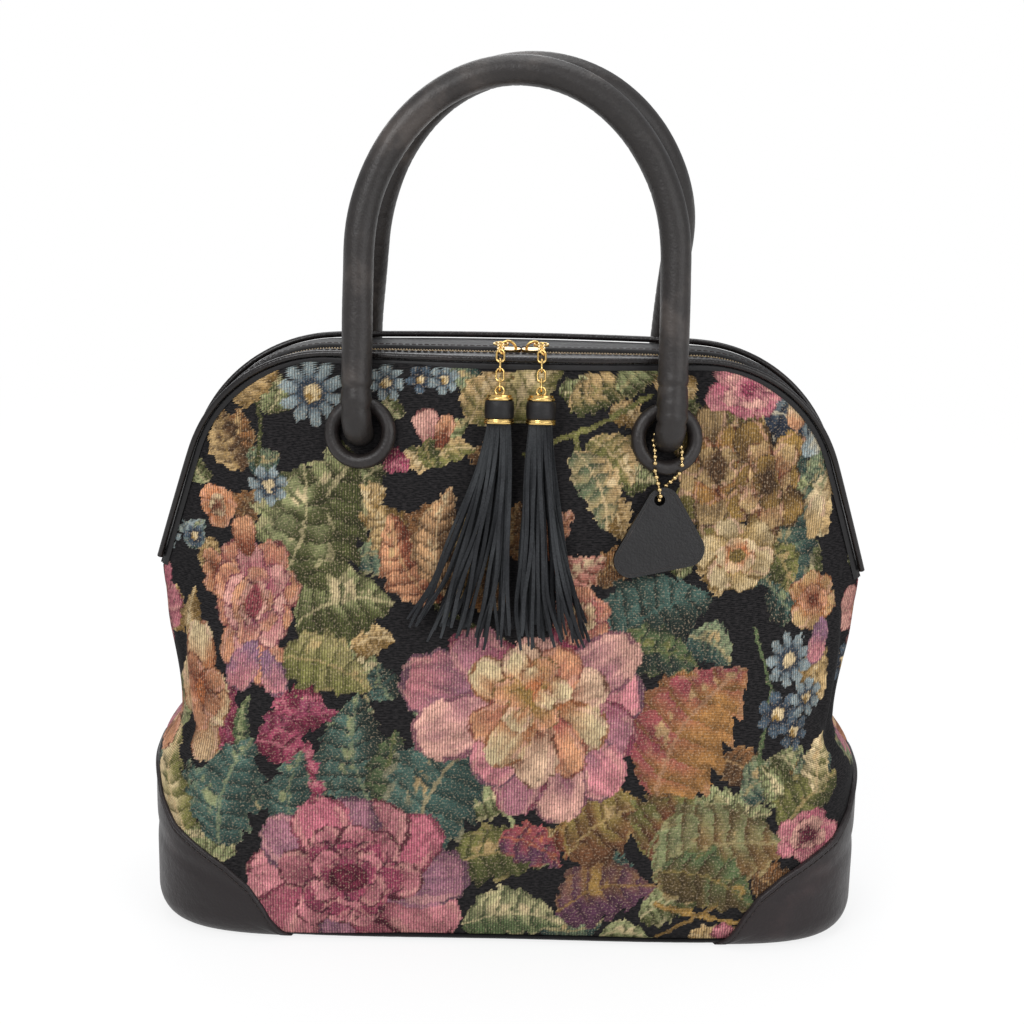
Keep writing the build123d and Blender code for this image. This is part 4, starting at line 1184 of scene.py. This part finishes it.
        self.petal(826, 560, 85, 48, 16, SAND, CREAM, seed=43)
        self.bloom(828, 622, 30, 28, [(1.0, 6, ORANGE, SAND), (0.5, 4, RUST, PEACH)], 12, RUST)
        self.petal(838, 640, 250, 44, 16, MAUVE, PINK, seed=44)
        self.bloom(812, 842, 36, 26, [(1.0, 7, ROSE, PINK), (0.6, 5, CRIMSON, BLUSH)], 13, CRIMSON)
        self.petal(736, 958, 120, 36, 16, ROSE, PINK, seed=45)
        self.petal(752, 950, 70, 34, 14, ROSE, PINK, seed=46)
        self.bloom(582, 618, 32, 28, [(1.0, 6, mix(ROSE, RUST, 0.4), PEACH), (0.5, 4, RUST, CREAM)], 16, RUST)
        self.peony()
        self.rose()

    def peony(self) -> None:
        """Weave the large peony at the middle: wide mauve petals round a pale cup."""
        x, y = 538, 706
        outer = [(168, 142, 50), (195, 132, 44), (140, 110, 40), (8, 108, 46), (32, 118, 42), (-22, 104, 44)]
        outer += [(-48, 118, 44), (-78, 120, 46), (-104, 112, 38), (-128, 96, 36), (90, 70, 40)]
        for place, (angle, length, width) in enumerate(outer):
            base = (mix(MAUVE, PLUM, 0.35), mix(ROSE, MAUVE, 0.5), ROSE)[place % 3]
            self.petal(
                x, y, angle, length, width, base, (PINK, BLUSH, mix(PINK, MAUVE, 0.4))[place % 3],
                seed=60 + place,
            )
        inner = [
            (150, 78, 32), (200, 74, 28), (20, 74, 30), (-25, 76, 32), (-60, 80, 30), (-95, 82, 32),
            (-130, 76, 28), (60, 66, 32), (110, 64, 32),
        ]
        for place, (angle, length, width) in enumerate(inner):
            base = (ORANGE, mix(ROSE, ORANGE, 0.5), RUST)[place % 3]
            self.petal(
                x, y, angle, length, width, base, (CREAM, PEACH, mix(BLUSH, CREAM, 0.5))[place % 3],
                seed=80 + place,
            )
        heart = [
            (0, 40, 20), (60, 38, 20), (120, 42, 22), (180, 40, 18), (240, 44, 22), (300, 42, 20),
            (90, 26, 16), (210, 26, 15), (330, 26, 15),
        ]
        for place, (angle, length, width) in enumerate(heart):
            base = (ORANGE, OCHRE)[place % 2]
            self.petal(x - 6, y - 14, angle, length, width, base, (CREAM, PEACH)[place % 2], seed=95 + place)

    def rose(self) -> None:
        """Weave the large rose at the foot: crimson coiled petals in paler ones."""
        x, y = 352, 880
        outer = [
            (178, 108, 44), (148, 104, 42), (205, 108, 40), (235, 92, 44), (270, 82, 46), (305, 92, 42),
            (335, 116, 44), (2, 118, 42), (32, 104, 42), (62, 88, 42), (92, 84, 42), (120, 92, 42),
        ]
        for place, (angle, length, width) in enumerate(outer):
            base = (CRIMSON, mix(MAUVE, PLUM, 0.5), ROSE)[place % 3]
            self.petal(
                x, y, angle, length, width, base,
                (PINK, mix(PINK, MAUVE, 0.55), mix(ROSE, PINK, 0.5))[place % 3], seed=110 + place,
            )
        rings = [
            (0.72, 8, CRIMSON, PINK),
            (0.56, 7, mix(CRIMSON, PLUM, 0.4), ROSE),
            (0.42, 6, CRIMSON, PINK),
            (0.3, 5, mix(CRIMSON, PLUM, 0.5), ROSE),
        ]
        self.bloom(x - 4, y - 2, 100, 72, rings, 17, CRIMSON)

    def weave(self, piece: bpy.types.Object) -> None:
        """Weave everything, and write it on the piece."""
        self.leaves()
        self.flowers()
        cover = np.concatenate([self.colour, np.ones((len(self.px), 1))], 1)
        layer = piece.data.color_attributes.new("cloth_colour", "FLOAT_COLOR", "POINT")
        layer.data.foreach_set("color", cover.astype(np.float32).ravel())
        thread = piece.data.attributes.new("cloth_thread", "FLOAT", "POINT")
        thread.data.foreach_set("value", self.thread.astype(np.float32))


@dataclass
class ClothPanel:
    """One padded cloth side of the bag, with soft folds by the side seams."""

    name: str
    side: int
    pitch: float
    low: float = 2.9
    inset: float = 2.2
    ear_inset: float = 0.5
    half_girth: float = 245
    cloth: bpy.types.Material | None = None

    def relief(self, x: np.ndarray, girth: np.ndarray, z: np.ndarray) -> np.ndarray:
        """Return how far the cloth stands out from or sags in under the even surface."""
        out = cloudy(x + 40 * self.side, z, 95, 3) * 1.0 + cloudy(x, z, 42, 4 + self.side) * 0.45
        for sign in (-1, 1):
            across = girth * sign
            crease = 186 + 5 * np.sin(z / 19.0) + 4 * sign
            out = out - 2.8 * hill(across, crease, 5.5) * eased(z, 92, 122) * (1 - eased(z, 150, 205))
            out = out + 1.8 * hill(across, crease - 13, 9) * eased(z, 92, 122) * (1 - eased(z, 160, 215))
            slant = hill(across + (z - 110) * 0.42, 176 + 3 * sign, 5)
            out = out - 1.8 * slant * eased(z, 96, 108) * (1 - eased(z, 122, 140))
            out = out + 1.2 * hill(across, 205, 8) * eased(z, 90, 115) * (1 - eased(z, 150, 190))
            out = out - 1.3 * hill(across - (z - 90) * 0.5, 150, 9) * hill(z, 108, 16)
        out = out + 0.7 * np.sin(x / 9.5 + 1.3) * hill(z, 300, 8) * 0.5
        out = out - 0.8 * hill(z, 6, 5)
        return np.clip(out, -3.2, 2.4)

    def build(self) -> bpy.types.Object:
        """Build, weave and dress the panel."""
        heights = np.arange(self.low, FORM.height - self.inset, self.pitch)
        heights = np.append(heights, FORM.height - self.inset)
        half = int(self.half_girth / self.pitch)
        insets = mix(self.ear_inset, self.inset, eased(heights, FORM.ear_height + 2, FORM.ear_height + 26))
        levels = [FORM.girth(float(z), half, 0, float(inset)) for z, inset in zip(heights, insets)]
        points = np.array([level[0] for level in levels])
        girth = np.array([level[1] for level in levels])
        across, up = np.gradient(points, axis=1), np.gradient(points, axis=0)
        normal = np.cross(across, up)
        normal /= np.maximum(np.linalg.norm(normal, axis=2), 1e-9)[:, :, None]
        normal[normal[:, :, 1] > 0.02] *= -1
        x, z = points[:, :, 0], points[:, :, 2]
        out = self.relief(x, girth, z)
        rim = np.minimum(1, (np.arange(points.shape[1]) / 6.0))
        rim = np.minimum(rim, rim[::-1])[None, :]
        out = out * rim - (1 - rim) * 0.9
        points = points + normal * out[:, :, None]
        if self.side > 0:
            points = (points * [1, -1, 1])[:, ::-1]
            girth = -girth[:, ::-1]
            x = -x[:, ::-1]
        piece = Workshop.surface(self.name, points)
        flat_x = x + 0.5 * (girth - x)
        px, py = STUDIO.picture(flat_x, -FORM.half_depth(z), z)
        Weaver(px.ravel(), py.ravel()).weave(piece)
        layer = piece.data.uv_layers[0]
        layer.name = "cloth"
        corners = np.empty(len(piece.data.loops), np.int32)
        piece.data.loops.foreach_get("vertex_index", corners)
        spread = np.stack([girth.ravel(), z.ravel()], 1)[corners] * MM
        layer.data.foreach_set("uv", spread.astype(np.float32).ravel())
        Workshop.dress(piece, self.cloth, "root", "jacquard")
        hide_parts("front_panel" if self.side < 0 else "back_panel")
        return piece


@dataclass
class CornerLeather:
    """A leather bottom corner: turned edge, topstitching and soft wrinkles."""

    name: str
    sign: int
    grow: float = 1.9
    start: float = 115.6
    half_width: float = FORM.base_width / 2
    seam: tuple = (
        (115.5, 0.4), (119, 5), (126, 19), (134, 31), (146, 41.5),
        (162, 51.5), (174, 59), (182, 70), (186.5, 83), (188, 85.5),
    )
    foot: float = 0.35
    stitch_drop: float = 3.4
    stitch_pitch: float = 3.7
    stitch_length: float = 2.7
    stitch_width: float = 0.6

    def top(self, x: np.ndarray) -> np.ndarray:
        """Return the seam's height at a place across."""
        places = np.array(self.seam)
        return np.interp(np.abs(x), places[:, 0], places[:, 1])

    def columns(self, count: int) -> tuple[np.ndarray, np.ndarray]:
        """Return shares of the half width and half depth at even steps from the front round to the back."""
        square, round_, share = FORM.low_square, FORM.low_round, FORM.flat_share
        flat = np.linspace(self.start / self.half_width, share, 300)
        turns = np.linspace(math.acos(share ** (square / 2)), 0, 600)[1:]
        across = np.concatenate([flat, np.cos(turns) ** (2 / square)])
        out = np.concatenate([(1 - flat**square) ** (1 / round_), np.sin(turns) ** (2 / round_)])
        steps = np.hypot(np.diff(across) * self.half_width, np.diff(out) * FORM.base_depth / 2)
        length = np.concatenate([[0], np.cumsum(steps)])
        even = np.linspace(0, length[-1], count)
        across, out = np.interp(even, length, across), np.interp(even, length, out)
        return np.concatenate([across, across[::-1][1:]]), np.concatenate([-out, out[::-1][1:]])

    def at(self, across: np.ndarray, out: np.ndarray, z: np.ndarray, grow: np.ndarray) -> np.ndarray:
        """Return places on the leather."""
        width, depth = FORM.half_width(z) + grow, FORM.half_depth(z) + grow
        return np.stack([width * across * self.sign, depth * out, z], -1)

    def build(self, leather: bpy.types.Material, thread: bpy.types.Material) -> None:
        """Build and dress the corner and its stitches."""
        across, out = self.columns(110)
        x = across * self.half_width
        top = self.top(x)
        even = np.full(len(top), self.grow)
        drops = [0.0, 0.05, 0.25, 0.6, 1.1, 1.7, 2.3, 2.8, 3.1, 3.4, 3.7, 4.1, 4.8]
        rows = []
        for drop in drops:
            grow = self.grow + 0.5 * hill(drop, 1.5, 1.1) - 0.5 * hill(drop, self.stitch_drop, 0.45)
            grow = grow - (1.9 if drop == 0 else 0.7 if drop < 0.2 else 0)
            rows.append((np.maximum(top - drop, self.foot), np.full(len(top), grow)))
        for share in np.linspace(0, 1, 46)[1:] ** 0.9:
            z = np.maximum(mix(top - drops[-1], self.foot, share), self.foot)
            soft = cloudy(x * np.sign(out + 0.01), z, 30, 6) * 0.45 + cloudy(x + z * 0.8, z, 12, 7) * 0.22
            fold = 0.7 * hill(z - 0.35 * (x - 150), 34, 4) + 0.5 * hill(z + 0.2 * (x - 150), 55, 3.5)
            shown = np.sin(math.pi * min(1, share * 1.6)) ** 0.5 if share < 0.95 else 0
            rows.append((z, even + (soft - fold * np.abs(out)) * shown))
        points = np.array([self.at(across, out, z, grow) for z, grow in rows])
        if self.sign < 0:
            points = points[:, ::-1]
        piece = Workshop.surface(self.name + "_leather", points[::-1])
        Workshop.dress(piece, leather, "root", "leather")
        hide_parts(self.name)
        z = np.maximum(top - self.stitch_drop, 0.5)
        line = self.at(across, out, z, np.full(len(top), self.grow + 0.05))[top > 6]
        wide = self.stitch_width
        stitch = Workshop.block(self.stitch_length, wide, wide, STITCH_BEVEL * wide)
        stitches = Workshop.stitched(
            self.name + "_stitches", line, self.stitch_pitch, self.stitch_pitch, stitch, (1, 4, 0)
        )
        Workshop.dress(stitches, thread, "root", "leather")


@dataclass
class TopBand:
    """Half of the leather top band, from the piping to the zip, with a stitched zip edge."""

    name: str
    side: int
    slot: float = 5.4
    stitch_pitch: float = 3.4
    stitch_length: float = 2.4
    stitch_width: float = 0.5
    stitch_inset: float = 2.6

    def build(self, leather: bpy.types.Material, thread: bpy.types.Material) -> None:
        """Build and dress the band and its stitches."""
        places, outward, _ = FORM.dome(420)
        x, z = places[:, 0], places[:, 1]
        keep = z > FORM.ear_height - 0.2
        x, z, outward = x[keep], z[keep], outward[keep]
        front = np.abs(FORM.front_y(x, z)) - 0.1
        inner = np.where(z > ZIP_END, self.slot, mix(0.1, self.slot, eased(z, ZIP_END - 5, ZIP_END)))
        inner = np.minimum(inner, front * 0.9)
        shares = [0, 0, 0.02, 0.08, 0.2, 0.35, 0.5, 0.65, 0.8, 0.9, 0.965, 1.0, 1.0, 1.0, 1.0]
        lifts = [-2.2, -0.4, 0.1, 0.35, 0.1, 0.35, 0.55, 0.55, 0.35, 0.15, 0.0, -0.1, -0.3, -1.6, -3.4]
        lips = [0] * 12 + [0.8, 0.9, 0.3]
        rows = []
        for share, lift, lip in zip(shares, lifts, lips):
            y = mix(inner, front, share)
            if lip:
                y = np.abs(FORM.front_y(x + outward[:, 0] * lift, z + outward[:, 1] * lift)) + lip
            rise = lift - (0.25 if 0.15 < share < 0.25 else 0)
            if 0 < share < 1:
                rise = rise + cloudy(x + z, y * 2, 26, 8) * 0.3 * math.sin(math.pi * share) ** 0.5
            rows.append(np.stack([x + outward[:, 0] * rise, self.side * y, z + outward[:, 1] * rise], 1))
        points = np.array(rows)
        if self.side < 0:
            points = points[::-1]
        piece = Workshop.surface(self.name + "_leather", points)
        Workshop.dress(piece, leather, "root", "leather")
        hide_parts(self.name)
        y = self.side * (inner + self.stitch_inset)
        line = np.stack([x + outward[:, 0] * 0.3, y, z + outward[:, 1] * 0.3], 1)[z > ZIP_END]
        wide = self.stitch_width
        stitch = Workshop.block(self.stitch_length, wide, wide, STITCH_BEVEL * wide)
        stitches = Workshop.stitched(self.name + "_stitches", line, 2, self.stitch_pitch, stitch, (1, 0, 1))
        Workshop.dress(stitches, thread, "root", "leather")


@dataclass
class ZipTeeth:
    """One row of moulded metal teeth."""

    name: str
    side: int
    pitch: float = 1.5
    near: float = 0.15
    far: float = 2.4
    thick: float = 0.85
    tall: float = 1.5
    sunk: float = 1.65

    def build(self, metal: bpy.types.Material) -> None:
        """Build and dress the row."""
        places, outward, length = FORM.dome(900)
        keep = places[:, 1] > ZIP_END
        line, out, run = places[keep], outward[keep], length[keep]
        tooth = Workshop.block(self.thick, self.far - self.near, self.tall, 0.22)
        matrices = []
        shift = 0.25 if self.side > 0 else 0.75
        for spot in np.arange(run[0] + self.pitch * shift, run[-1], self.pitch):
            x, z = (float(np.interp(spot, run, line[:, axis])) for axis in (0, 1))
            ox, oz = (float(np.interp(spot, run, out[:, axis])) for axis in (0, 1))
            y = self.side * (self.near + self.far) / 2
            place = np.array([x - ox * self.sunk, y, z - oz * self.sunk])
            matrices.append(turned(place, np.array([oz, 0, -ox]), np.array([ox, 0, oz])))
        piece = Workshop.copies(self.name + "_row", tooth, matrices)
        Workshop.dress(piece, metal, "root", "zip_teeth")
        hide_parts(self.name)


@dataclass
class Handle:
    """A padded tube handle whose ends turn in through the covered rings."""

    name: str
    side: int
    radius: float = 7.75
    hinge: tuple = (79.75, 48.96, 273.81)
    apex_y: float = 9.0
    top: float = 452.0
    leg: float = 360.0
    foot: float = 292.0
    creases: tuple = (283.5, 287.5, 298.0)
    lean: float = 0.0
    sides: int = 32

    def path(self) -> np.ndarray:
        """Return the tube's middle from the left ring to the right."""
        hinge_x, hinge_y, hinge_z = self.hinge

        def depth(z):
            return hinge_y + (self.apex_y - hinge_y) * (z - hinge_z) / (self.top - hinge_z)

        z = np.arange(self.foot, self.leg, 1.0)
        leg = np.stack([np.full(len(z), hinge_x), depth(z), z], 1)
        turn = np.linspace(0, math.pi / 2, 110)
        arch_z = self.leg + (self.top - self.leg) * np.sin(turn)
        arch = np.stack([hinge_x * np.cos(turn), depth(arch_z), arch_z], 1)
        corner = np.array([[77.6, 30.0, 268.6], [78.4, 41.6, 271.2], [79.75, 50.6, 274.6], leg[0]])
        t = np.linspace(0, 1, 26)[:-1, None]
        shares = ((1 - t) ** 3, 3 * t * (1 - t) ** 2, 3 * t**2 * (1 - t), t**3)
        bend = sum(place * share for place, share in zip(corner, shares))
        half = np.concatenate([bend, leg, arch])
        whole = np.concatenate([half * [-1, 1, 1], half[::-1][1:]]) * [1, self.side, 1]
        whole[:, 0] += self.lean * eased(whole[:, 2], self.foot, 400)
        return whole

    def build(self, leather: bpy.types.Material) -> None:
        """Build and dress the handle."""
        path = self.path()
        z = path[:, 2]
        radius = self.radius + 0.16 * cloudy(path[:, 0] * 0.8 + 7, z, 22, 9)
        low = np.abs(path[:, 0]) > 60
        for place, crease in enumerate(self.creases):
            sway = 2.0 * np.sign(path[:, 0]) * (place - 1)
            radius = radius - (0.75, 0.5, 0.6)[place] * hill(z, crease + sway, 1.1) * low
            radius = radius + 0.3 * hill(z, crease + sway + 3, 1.8) * low
        radius = radius - 0.7 * (1 - eased(np.abs(path[:, 1]), 36, 48)) * (z < 280)
        along = np.gradient(path, axis=0)
        along /= np.linalg.norm(along, axis=1)[:, None]
        inward = np.array([0.0, 0, 340]) - path
        inward -= along * np.sum(inward * along, axis=1)[:, None]
        inward /= np.linalg.norm(inward, axis=1)[:, None]
        across = np.cross(along, inward)
        turn = np.linspace(0, math.tau, self.sides + 1)
        ridge = 0.22 * np.exp(-((np.minimum(turn, math.tau - turn) / 0.16) ** 2))
        wave = 0.1 * np.sin(turn[None, :] * 3 + z[:, None] / 9)
        run = np.cumsum(np.linalg.norm(np.gradient(path, axis=0), axis=1))
        fold = run[:, None] / 5.2 + 0.5 * np.sin(turn[None, :] + run[:, None] / 31)
        pucker = (
            np.exp(-((((fold + 0.5) % 1.0) - 0.5) / 0.09) ** 2)
            * (hashed(np.floor(fold + 0.5), np.zeros(fold.shape), 21) > 0.45)
        )
        inner = 0.25 + 0.75 * eased(np.cos(turn), -0.2, 0.9)[None, :]
        ends = eased(z, 286, 300)[:, None]
        size = radius[:, None] + ridge[None, :] + wave - 0.2 * pucker * inner * ends
        ring = (
            inward[:, None] * (size * np.cos(turn))[:, :, None]
            + across[:, None] * (size * np.sin(turn))[:, :, None]
        )
        piece = Workshop.surface(self.name + "_tube", path[:, None] + ring, closed=True, capped=True)
        Workshop.dress(piece, leather, self.name, "leather", crosses=True)
        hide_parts(self.name)
        self.side * 0.042
        self.side * 0.0475
        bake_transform(piece)


@dataclass
class Tassel:
    """A zip tassel: gold cap, leather barrel, gold collar, and a fringe of cut suede strips."""

    side: str
    x: float
    spread: tuple[float, float]
    curl: float
    strips: int = 39
    length: float = 112.0
    thickness: float = 0.42
    collar_depth: float = 13.6
    top: tuple = (0.0, -44.75, 293.91)
    lean: float = 12.5

    def axis(self) -> tuple[np.ndarray, np.ndarray]:
        """Return the top of the cap and the way down."""
        turn = math.radians(self.lean)
        return np.array([self.x, self.top[1], self.top[2]]), np.array([0, -math.sin(turn), -math.cos(turn)])

    def fittings(self, gold: bpy.types.Material, leather: bpy.types.Material) -> None:
        """Build the cap, barrel and collar."""
        start, down = self.axis()
        body = self.side + "_tassel"
        cap = [
            (0.02, -0.7), (1.6, -0.6), (3.4, -0.2), (5.2, 0.5), (6.4, 1.1), (7.0, 1.6), (7.1, 2.1),
            (6.9, 2.6), (6.2, 2.75), (0.02, 2.75),
        ]
        piece = Workshop.lathe(body + "_cap_dome", cap, start, down)
        Workshop.dress(piece, gold, body, "gold", 40)
        barrel = [
            (0.02, 2.7), (6.6, 2.75), (7.1, 3.1), (7.35, 4.0), (7.5, 6.5), (7.45, 9.5), (7.3, 11.4),
            (6.9, 12.0), (0.02, 12.05),
        ]
        piece = Workshop.lathe(body + "_barrel_leather", barrel, start, down)
        Workshop.dress(piece, leather, body, "leather", 50)
        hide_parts(body + "_barrel")
        collar = [
            (0.02, 11.9), (7.0, 11.95), (7.6, 12.2), (7.8, 12.7), (7.5, 13.1), (7.5, 13.4), (7.8, 13.8),
            (7.7, 14.4), (7.2, 14.75), (6.4, 14.8), (0.02, 14.8),
        ]
        piece = Workshop.lathe(body + "_collar_ring", collar, start, down)
        Workshop.dress(piece, gold, body, "gold", 40)
        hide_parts(body + "_collar")

    def fringe(self, suede: bpy.types.Material) -> None:
        """Build the strips, hung in layers and flared at their ends."""
        rng = np.random.default_rng(SEED + len(self.side))
        start, down = self.axis()
        foot = start + down * self.collar_depth
        parts = []
        for index in range(self.strips):
            layer = index % 3
            share = ((index // 3) + (0.0, 0.5, 0.25)[layer] + rng.uniform(-0.25, 0.25)) / (self.strips // 3)
            share = float(np.clip(share, 0, 1))
            turn = math.pi * share
            depth = (4.6, 0.6, -3.8)[layer] * (0.5 + 0.5 * math.sin(turn))
            begin = foot + np.array([-5.2 * math.cos(turn), depth, 0])
            end_x = mix(self.spread[0], self.spread[1], share) + rng.uniform(-1.8, 1.8)
            reach = end_x - begin[0]
            length = self.length + rng.uniform(-9, 3) - (2 if layer == 0 else 0)
            kink, bow = rng.uniform(-3.4, 3.4), rng.uniform(-2.2, 2.2)
            drop = math.sqrt(max(length**2 - (reach * 1.05) ** 2, 60**2))
            t = np.linspace(0, 1, 30)
            z = begin[2] - drop * t
            x = (
                begin[0] + reach * (t ** (1.35 + self.curl))
                + np.sin(t * math.pi * rng.uniform(1.2, 2.8) + rng.uniform(0, 6)) * 1.7 * t
            )
            x = x + kink * eased(t, 0.72, 1.0) ** 1.5 + bow * np.sin(t * math.pi)
            back = -FORM.half_depth(z) - 3.0 - (0.6, 4.0, 7.6)[layer] - 1.6 * np.sin(t * 3 + index)
            y = mix(np.full(len(t), begin[1]), back, eased(t, 0.0, 0.5))
            y = np.minimum(y, -FORM.half_depth(z) - 2.6)
            tip = 1 - 0.35 * eased(t, 0.93, 1.0)
            width = rng.uniform(1.15, 1.45) * tip * mix(0.8, 1.0, eased(t, 0, 0.2))
            twist = rng.uniform(-0.5, 0.5) + rng.uniform(-0.9, 0.9) * t
            path = np.stack([x, y, z], 1)
            parts.append(Workshop.strip("strip", path, width, self.thickness, twist))
        piece = Workshop.join(self.side + "_fringe_strips", parts)
        Workshop.dress(piece, suede, self.side + "_tassel", "fringe", 40)
        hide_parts(self.side + "_fringe")


@dataclass
class TagRule:
    """The fine raised line round the tag's face."""

    x: float = 73.0
    z: float = 223.0
    lift: float = 6.08
    corners: tuple = ((3.0, 33.0), (30.5, -14.0), (-30.5, -26.0))
    inset: float = 1.6
    radius: float = 9.0
    half_width: float = 0.2
    half_height: float = 0.1

    def outline(self, inset: float) -> np.ndarray:
        """Return the rounded triangle's outline, this far inside the tag's edge."""
        points = np.array(self.corners)
        middle = points.mean(axis=0)
        lines = []
        for at in range(3):
            a, b = points[at], points[(at + 1) % 3]
            way = (b - a) / np.linalg.norm(b - a)
            square = np.array([-way[1], way[0]])
            square = square if square @ (middle - a) > 0 else -square
            lines.append((a + square * inset, way, square))
        radius = self.radius - inset
        outline = []
        for at in range(3):
            (a, way, square), (b, next_way, next_square) = lines[at - 1], lines[at]
            shift = np.linalg.solve(
                np.stack([way, -next_way], 1), (b + next_square * radius) - (a + square * radius)
            )
            centre = a + square * radius + way * shift[0]
            first, last = math.atan2(-square[1], -square[0]), math.atan2(-next_square[1], -next_square[0])
            turn = (last - first + math.pi) % math.tau - math.pi
            for share in np.linspace(0, 1, 14):
                angle = first + turn * share
                outline.append(centre + radius * np.array([math.cos(angle), math.sin(angle)]))
        return np.array(outline)

    def build(self, leather: bpy.types.Material) -> None:
        """Build and dress the line."""
        normal = FORM.normal(self.x, self.z)
        foot = np.array([self.x, float(FORM.front_y(self.x, self.z)), self.z]) + normal * self.lift
        across = np.array([1.0, 0, 0]) - normal * normal[0]
        across /= np.linalg.norm(across)
        up = np.cross(normal, across)
        line = self.outline(self.inset)
        line = np.concatenate([line, line[:1]])
        path = foot + across * line[:, :1] + up * line[:, 1:]
        along = np.gradient(path, axis=0)
        along[0] = along[-1] = path[1] - path[-2]
        along /= np.linalg.norm(along, axis=1)[:, None]
        side = np.cross(along, normal)
        turn = np.linspace(0, math.tau, 9)
        ring = side[:, None] * (self.half_width * np.cos(turn))[None, :, None]
        ring = ring + normal * (self.half_height * np.sin(turn))[None, :, None]
        piece = Workshop.surface("tag_rule", path[:, None] + ring, closed=True)
        Workshop.dress(piece, leather, "tag", "leather")


class Handbag:
    """The whole bag."""

    def __init__(self) -> None:
        """Mix the finishes."""
        self.leather = Leather(
            "band_leather", shade(10, 8, 10), shade(36, 30, 31), 0.55, 0.0009, 0.3
        ).material()
        self.corner = Leather(
            "corner_leather", shade(24, 15, 17), shade(58, 43, 42), 0.46, 0.0022, 0.4
        ).material()
        self.handle = Leather(
            "handle_leather", shade(30, 26, 25), shade(80, 72, 67), 0.46, 0.0016, 0.5
        ).material()
        self.ring = Leather(
            "ring_leather", shade(24, 20, 20), shade(104, 92, 86), 0.42, 0.0012, 0.75
        ).material()
        self.tag = Leather("tag_leather", shade(13, 11, 13), shade(46, 42, 42), 0.44, 0.0008, 0.35).material()
        self.piping = Leather(
            "piping_leather", shade(14, 10, 10), shade(56, 44, 40), 0.27, 0.0004, 0.3
        ).material()
        self.suede = Suede("fringe_suede", shade(24, 25, 28), shade(50, 52, 54)).material()
        self.gold = Metal("gold_plate", shade(226, 190, 120), 0.2).material()
        self.ball = Metal("ball_chain_brass", shade(214, 186, 132), 0.24).material()
        self.teeth = Metal("zip_brass", shade(150, 126, 84), 0.34).material()
        self.thread = PlainCloth("stitch_thread", shade(56, 46, 44), 0.0006).material()
        self.tape = PlainCloth("zip_tape_cloth", shade(34, 34, 44)).material()
        self.lining = PlainCloth("lining_cloth", shade(96, 80, 66), 0.0012).material()
        self.base = PlainCloth("base_cloth", shade(30, 28, 30), 0.001).material()
        self.jacquard = Jacquard().material()

    def carried(self) -> None:
        """Dress the solids that stay as they are."""
        finishes = {
            "ring": self.ring,
            "neck": self.handle,
            "piping": self.piping,
            "zip_tape": self.tape,
            "chain": self.gold,
            "pull_ring": self.gold,
            "slider": self.gold,
            "cap": self.gold,
            "zip_end_tabs": self.leather,
            "lining": self.lining,
            "base_board": self.lining,
            "base_panel": self.base,
            "bead_chain": self.ball,
            "tag": self.tag,
        }
        for name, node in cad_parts.items():
            match = max((key for key in finishes if name.endswith(key)), key=len, default="")
            finish = finishes.get(match, self.leather)
            node.data.materials.clear()
            node.data.materials.append(finish)

    def build(self) -> None:
        """Build every piece in order."""
        self.carried()
        ClothPanel("front_cloth", -1, 1.0, cloth=self.jacquard).build()
        ClothPanel("back_cloth", 1, 1.45, cloth=self.jacquard).build()
        for name, sign in (("left_corner", -1), ("right_corner", 1)):
            CornerLeather(name, sign).build(self.corner, self.thread)
        for name, side in (("front_zip_band", -1), ("back_zip_band", 1)):
            TopBand(name, side).build(self.leather, self.thread)
        for name, side in (("front_zip_teeth", -1), ("back_zip_teeth", 1)):
            ZipTeeth(name, side).build(self.teeth)
        for name, side, lean in (("front_handle", -1, 0.0), ("back_handle", 1, 7.0)):
            Handle(name, side, lean=lean).build(self.handle)
        for tassel in (Tassel("left", -7.5, (-50.0, 0.0), 0.15), Tassel("right", 13.5, (1.0, 43.0), 0.55)):
            tassel.fittings(self.gold, self.leather)
            tassel.fringe(self.suede)
        TagRule().build(self.ring)


def main() -> None:
    """Build the scene."""
    STUDIO.build()
    Handbag().build()


if __name__ == "__main__":
    main()
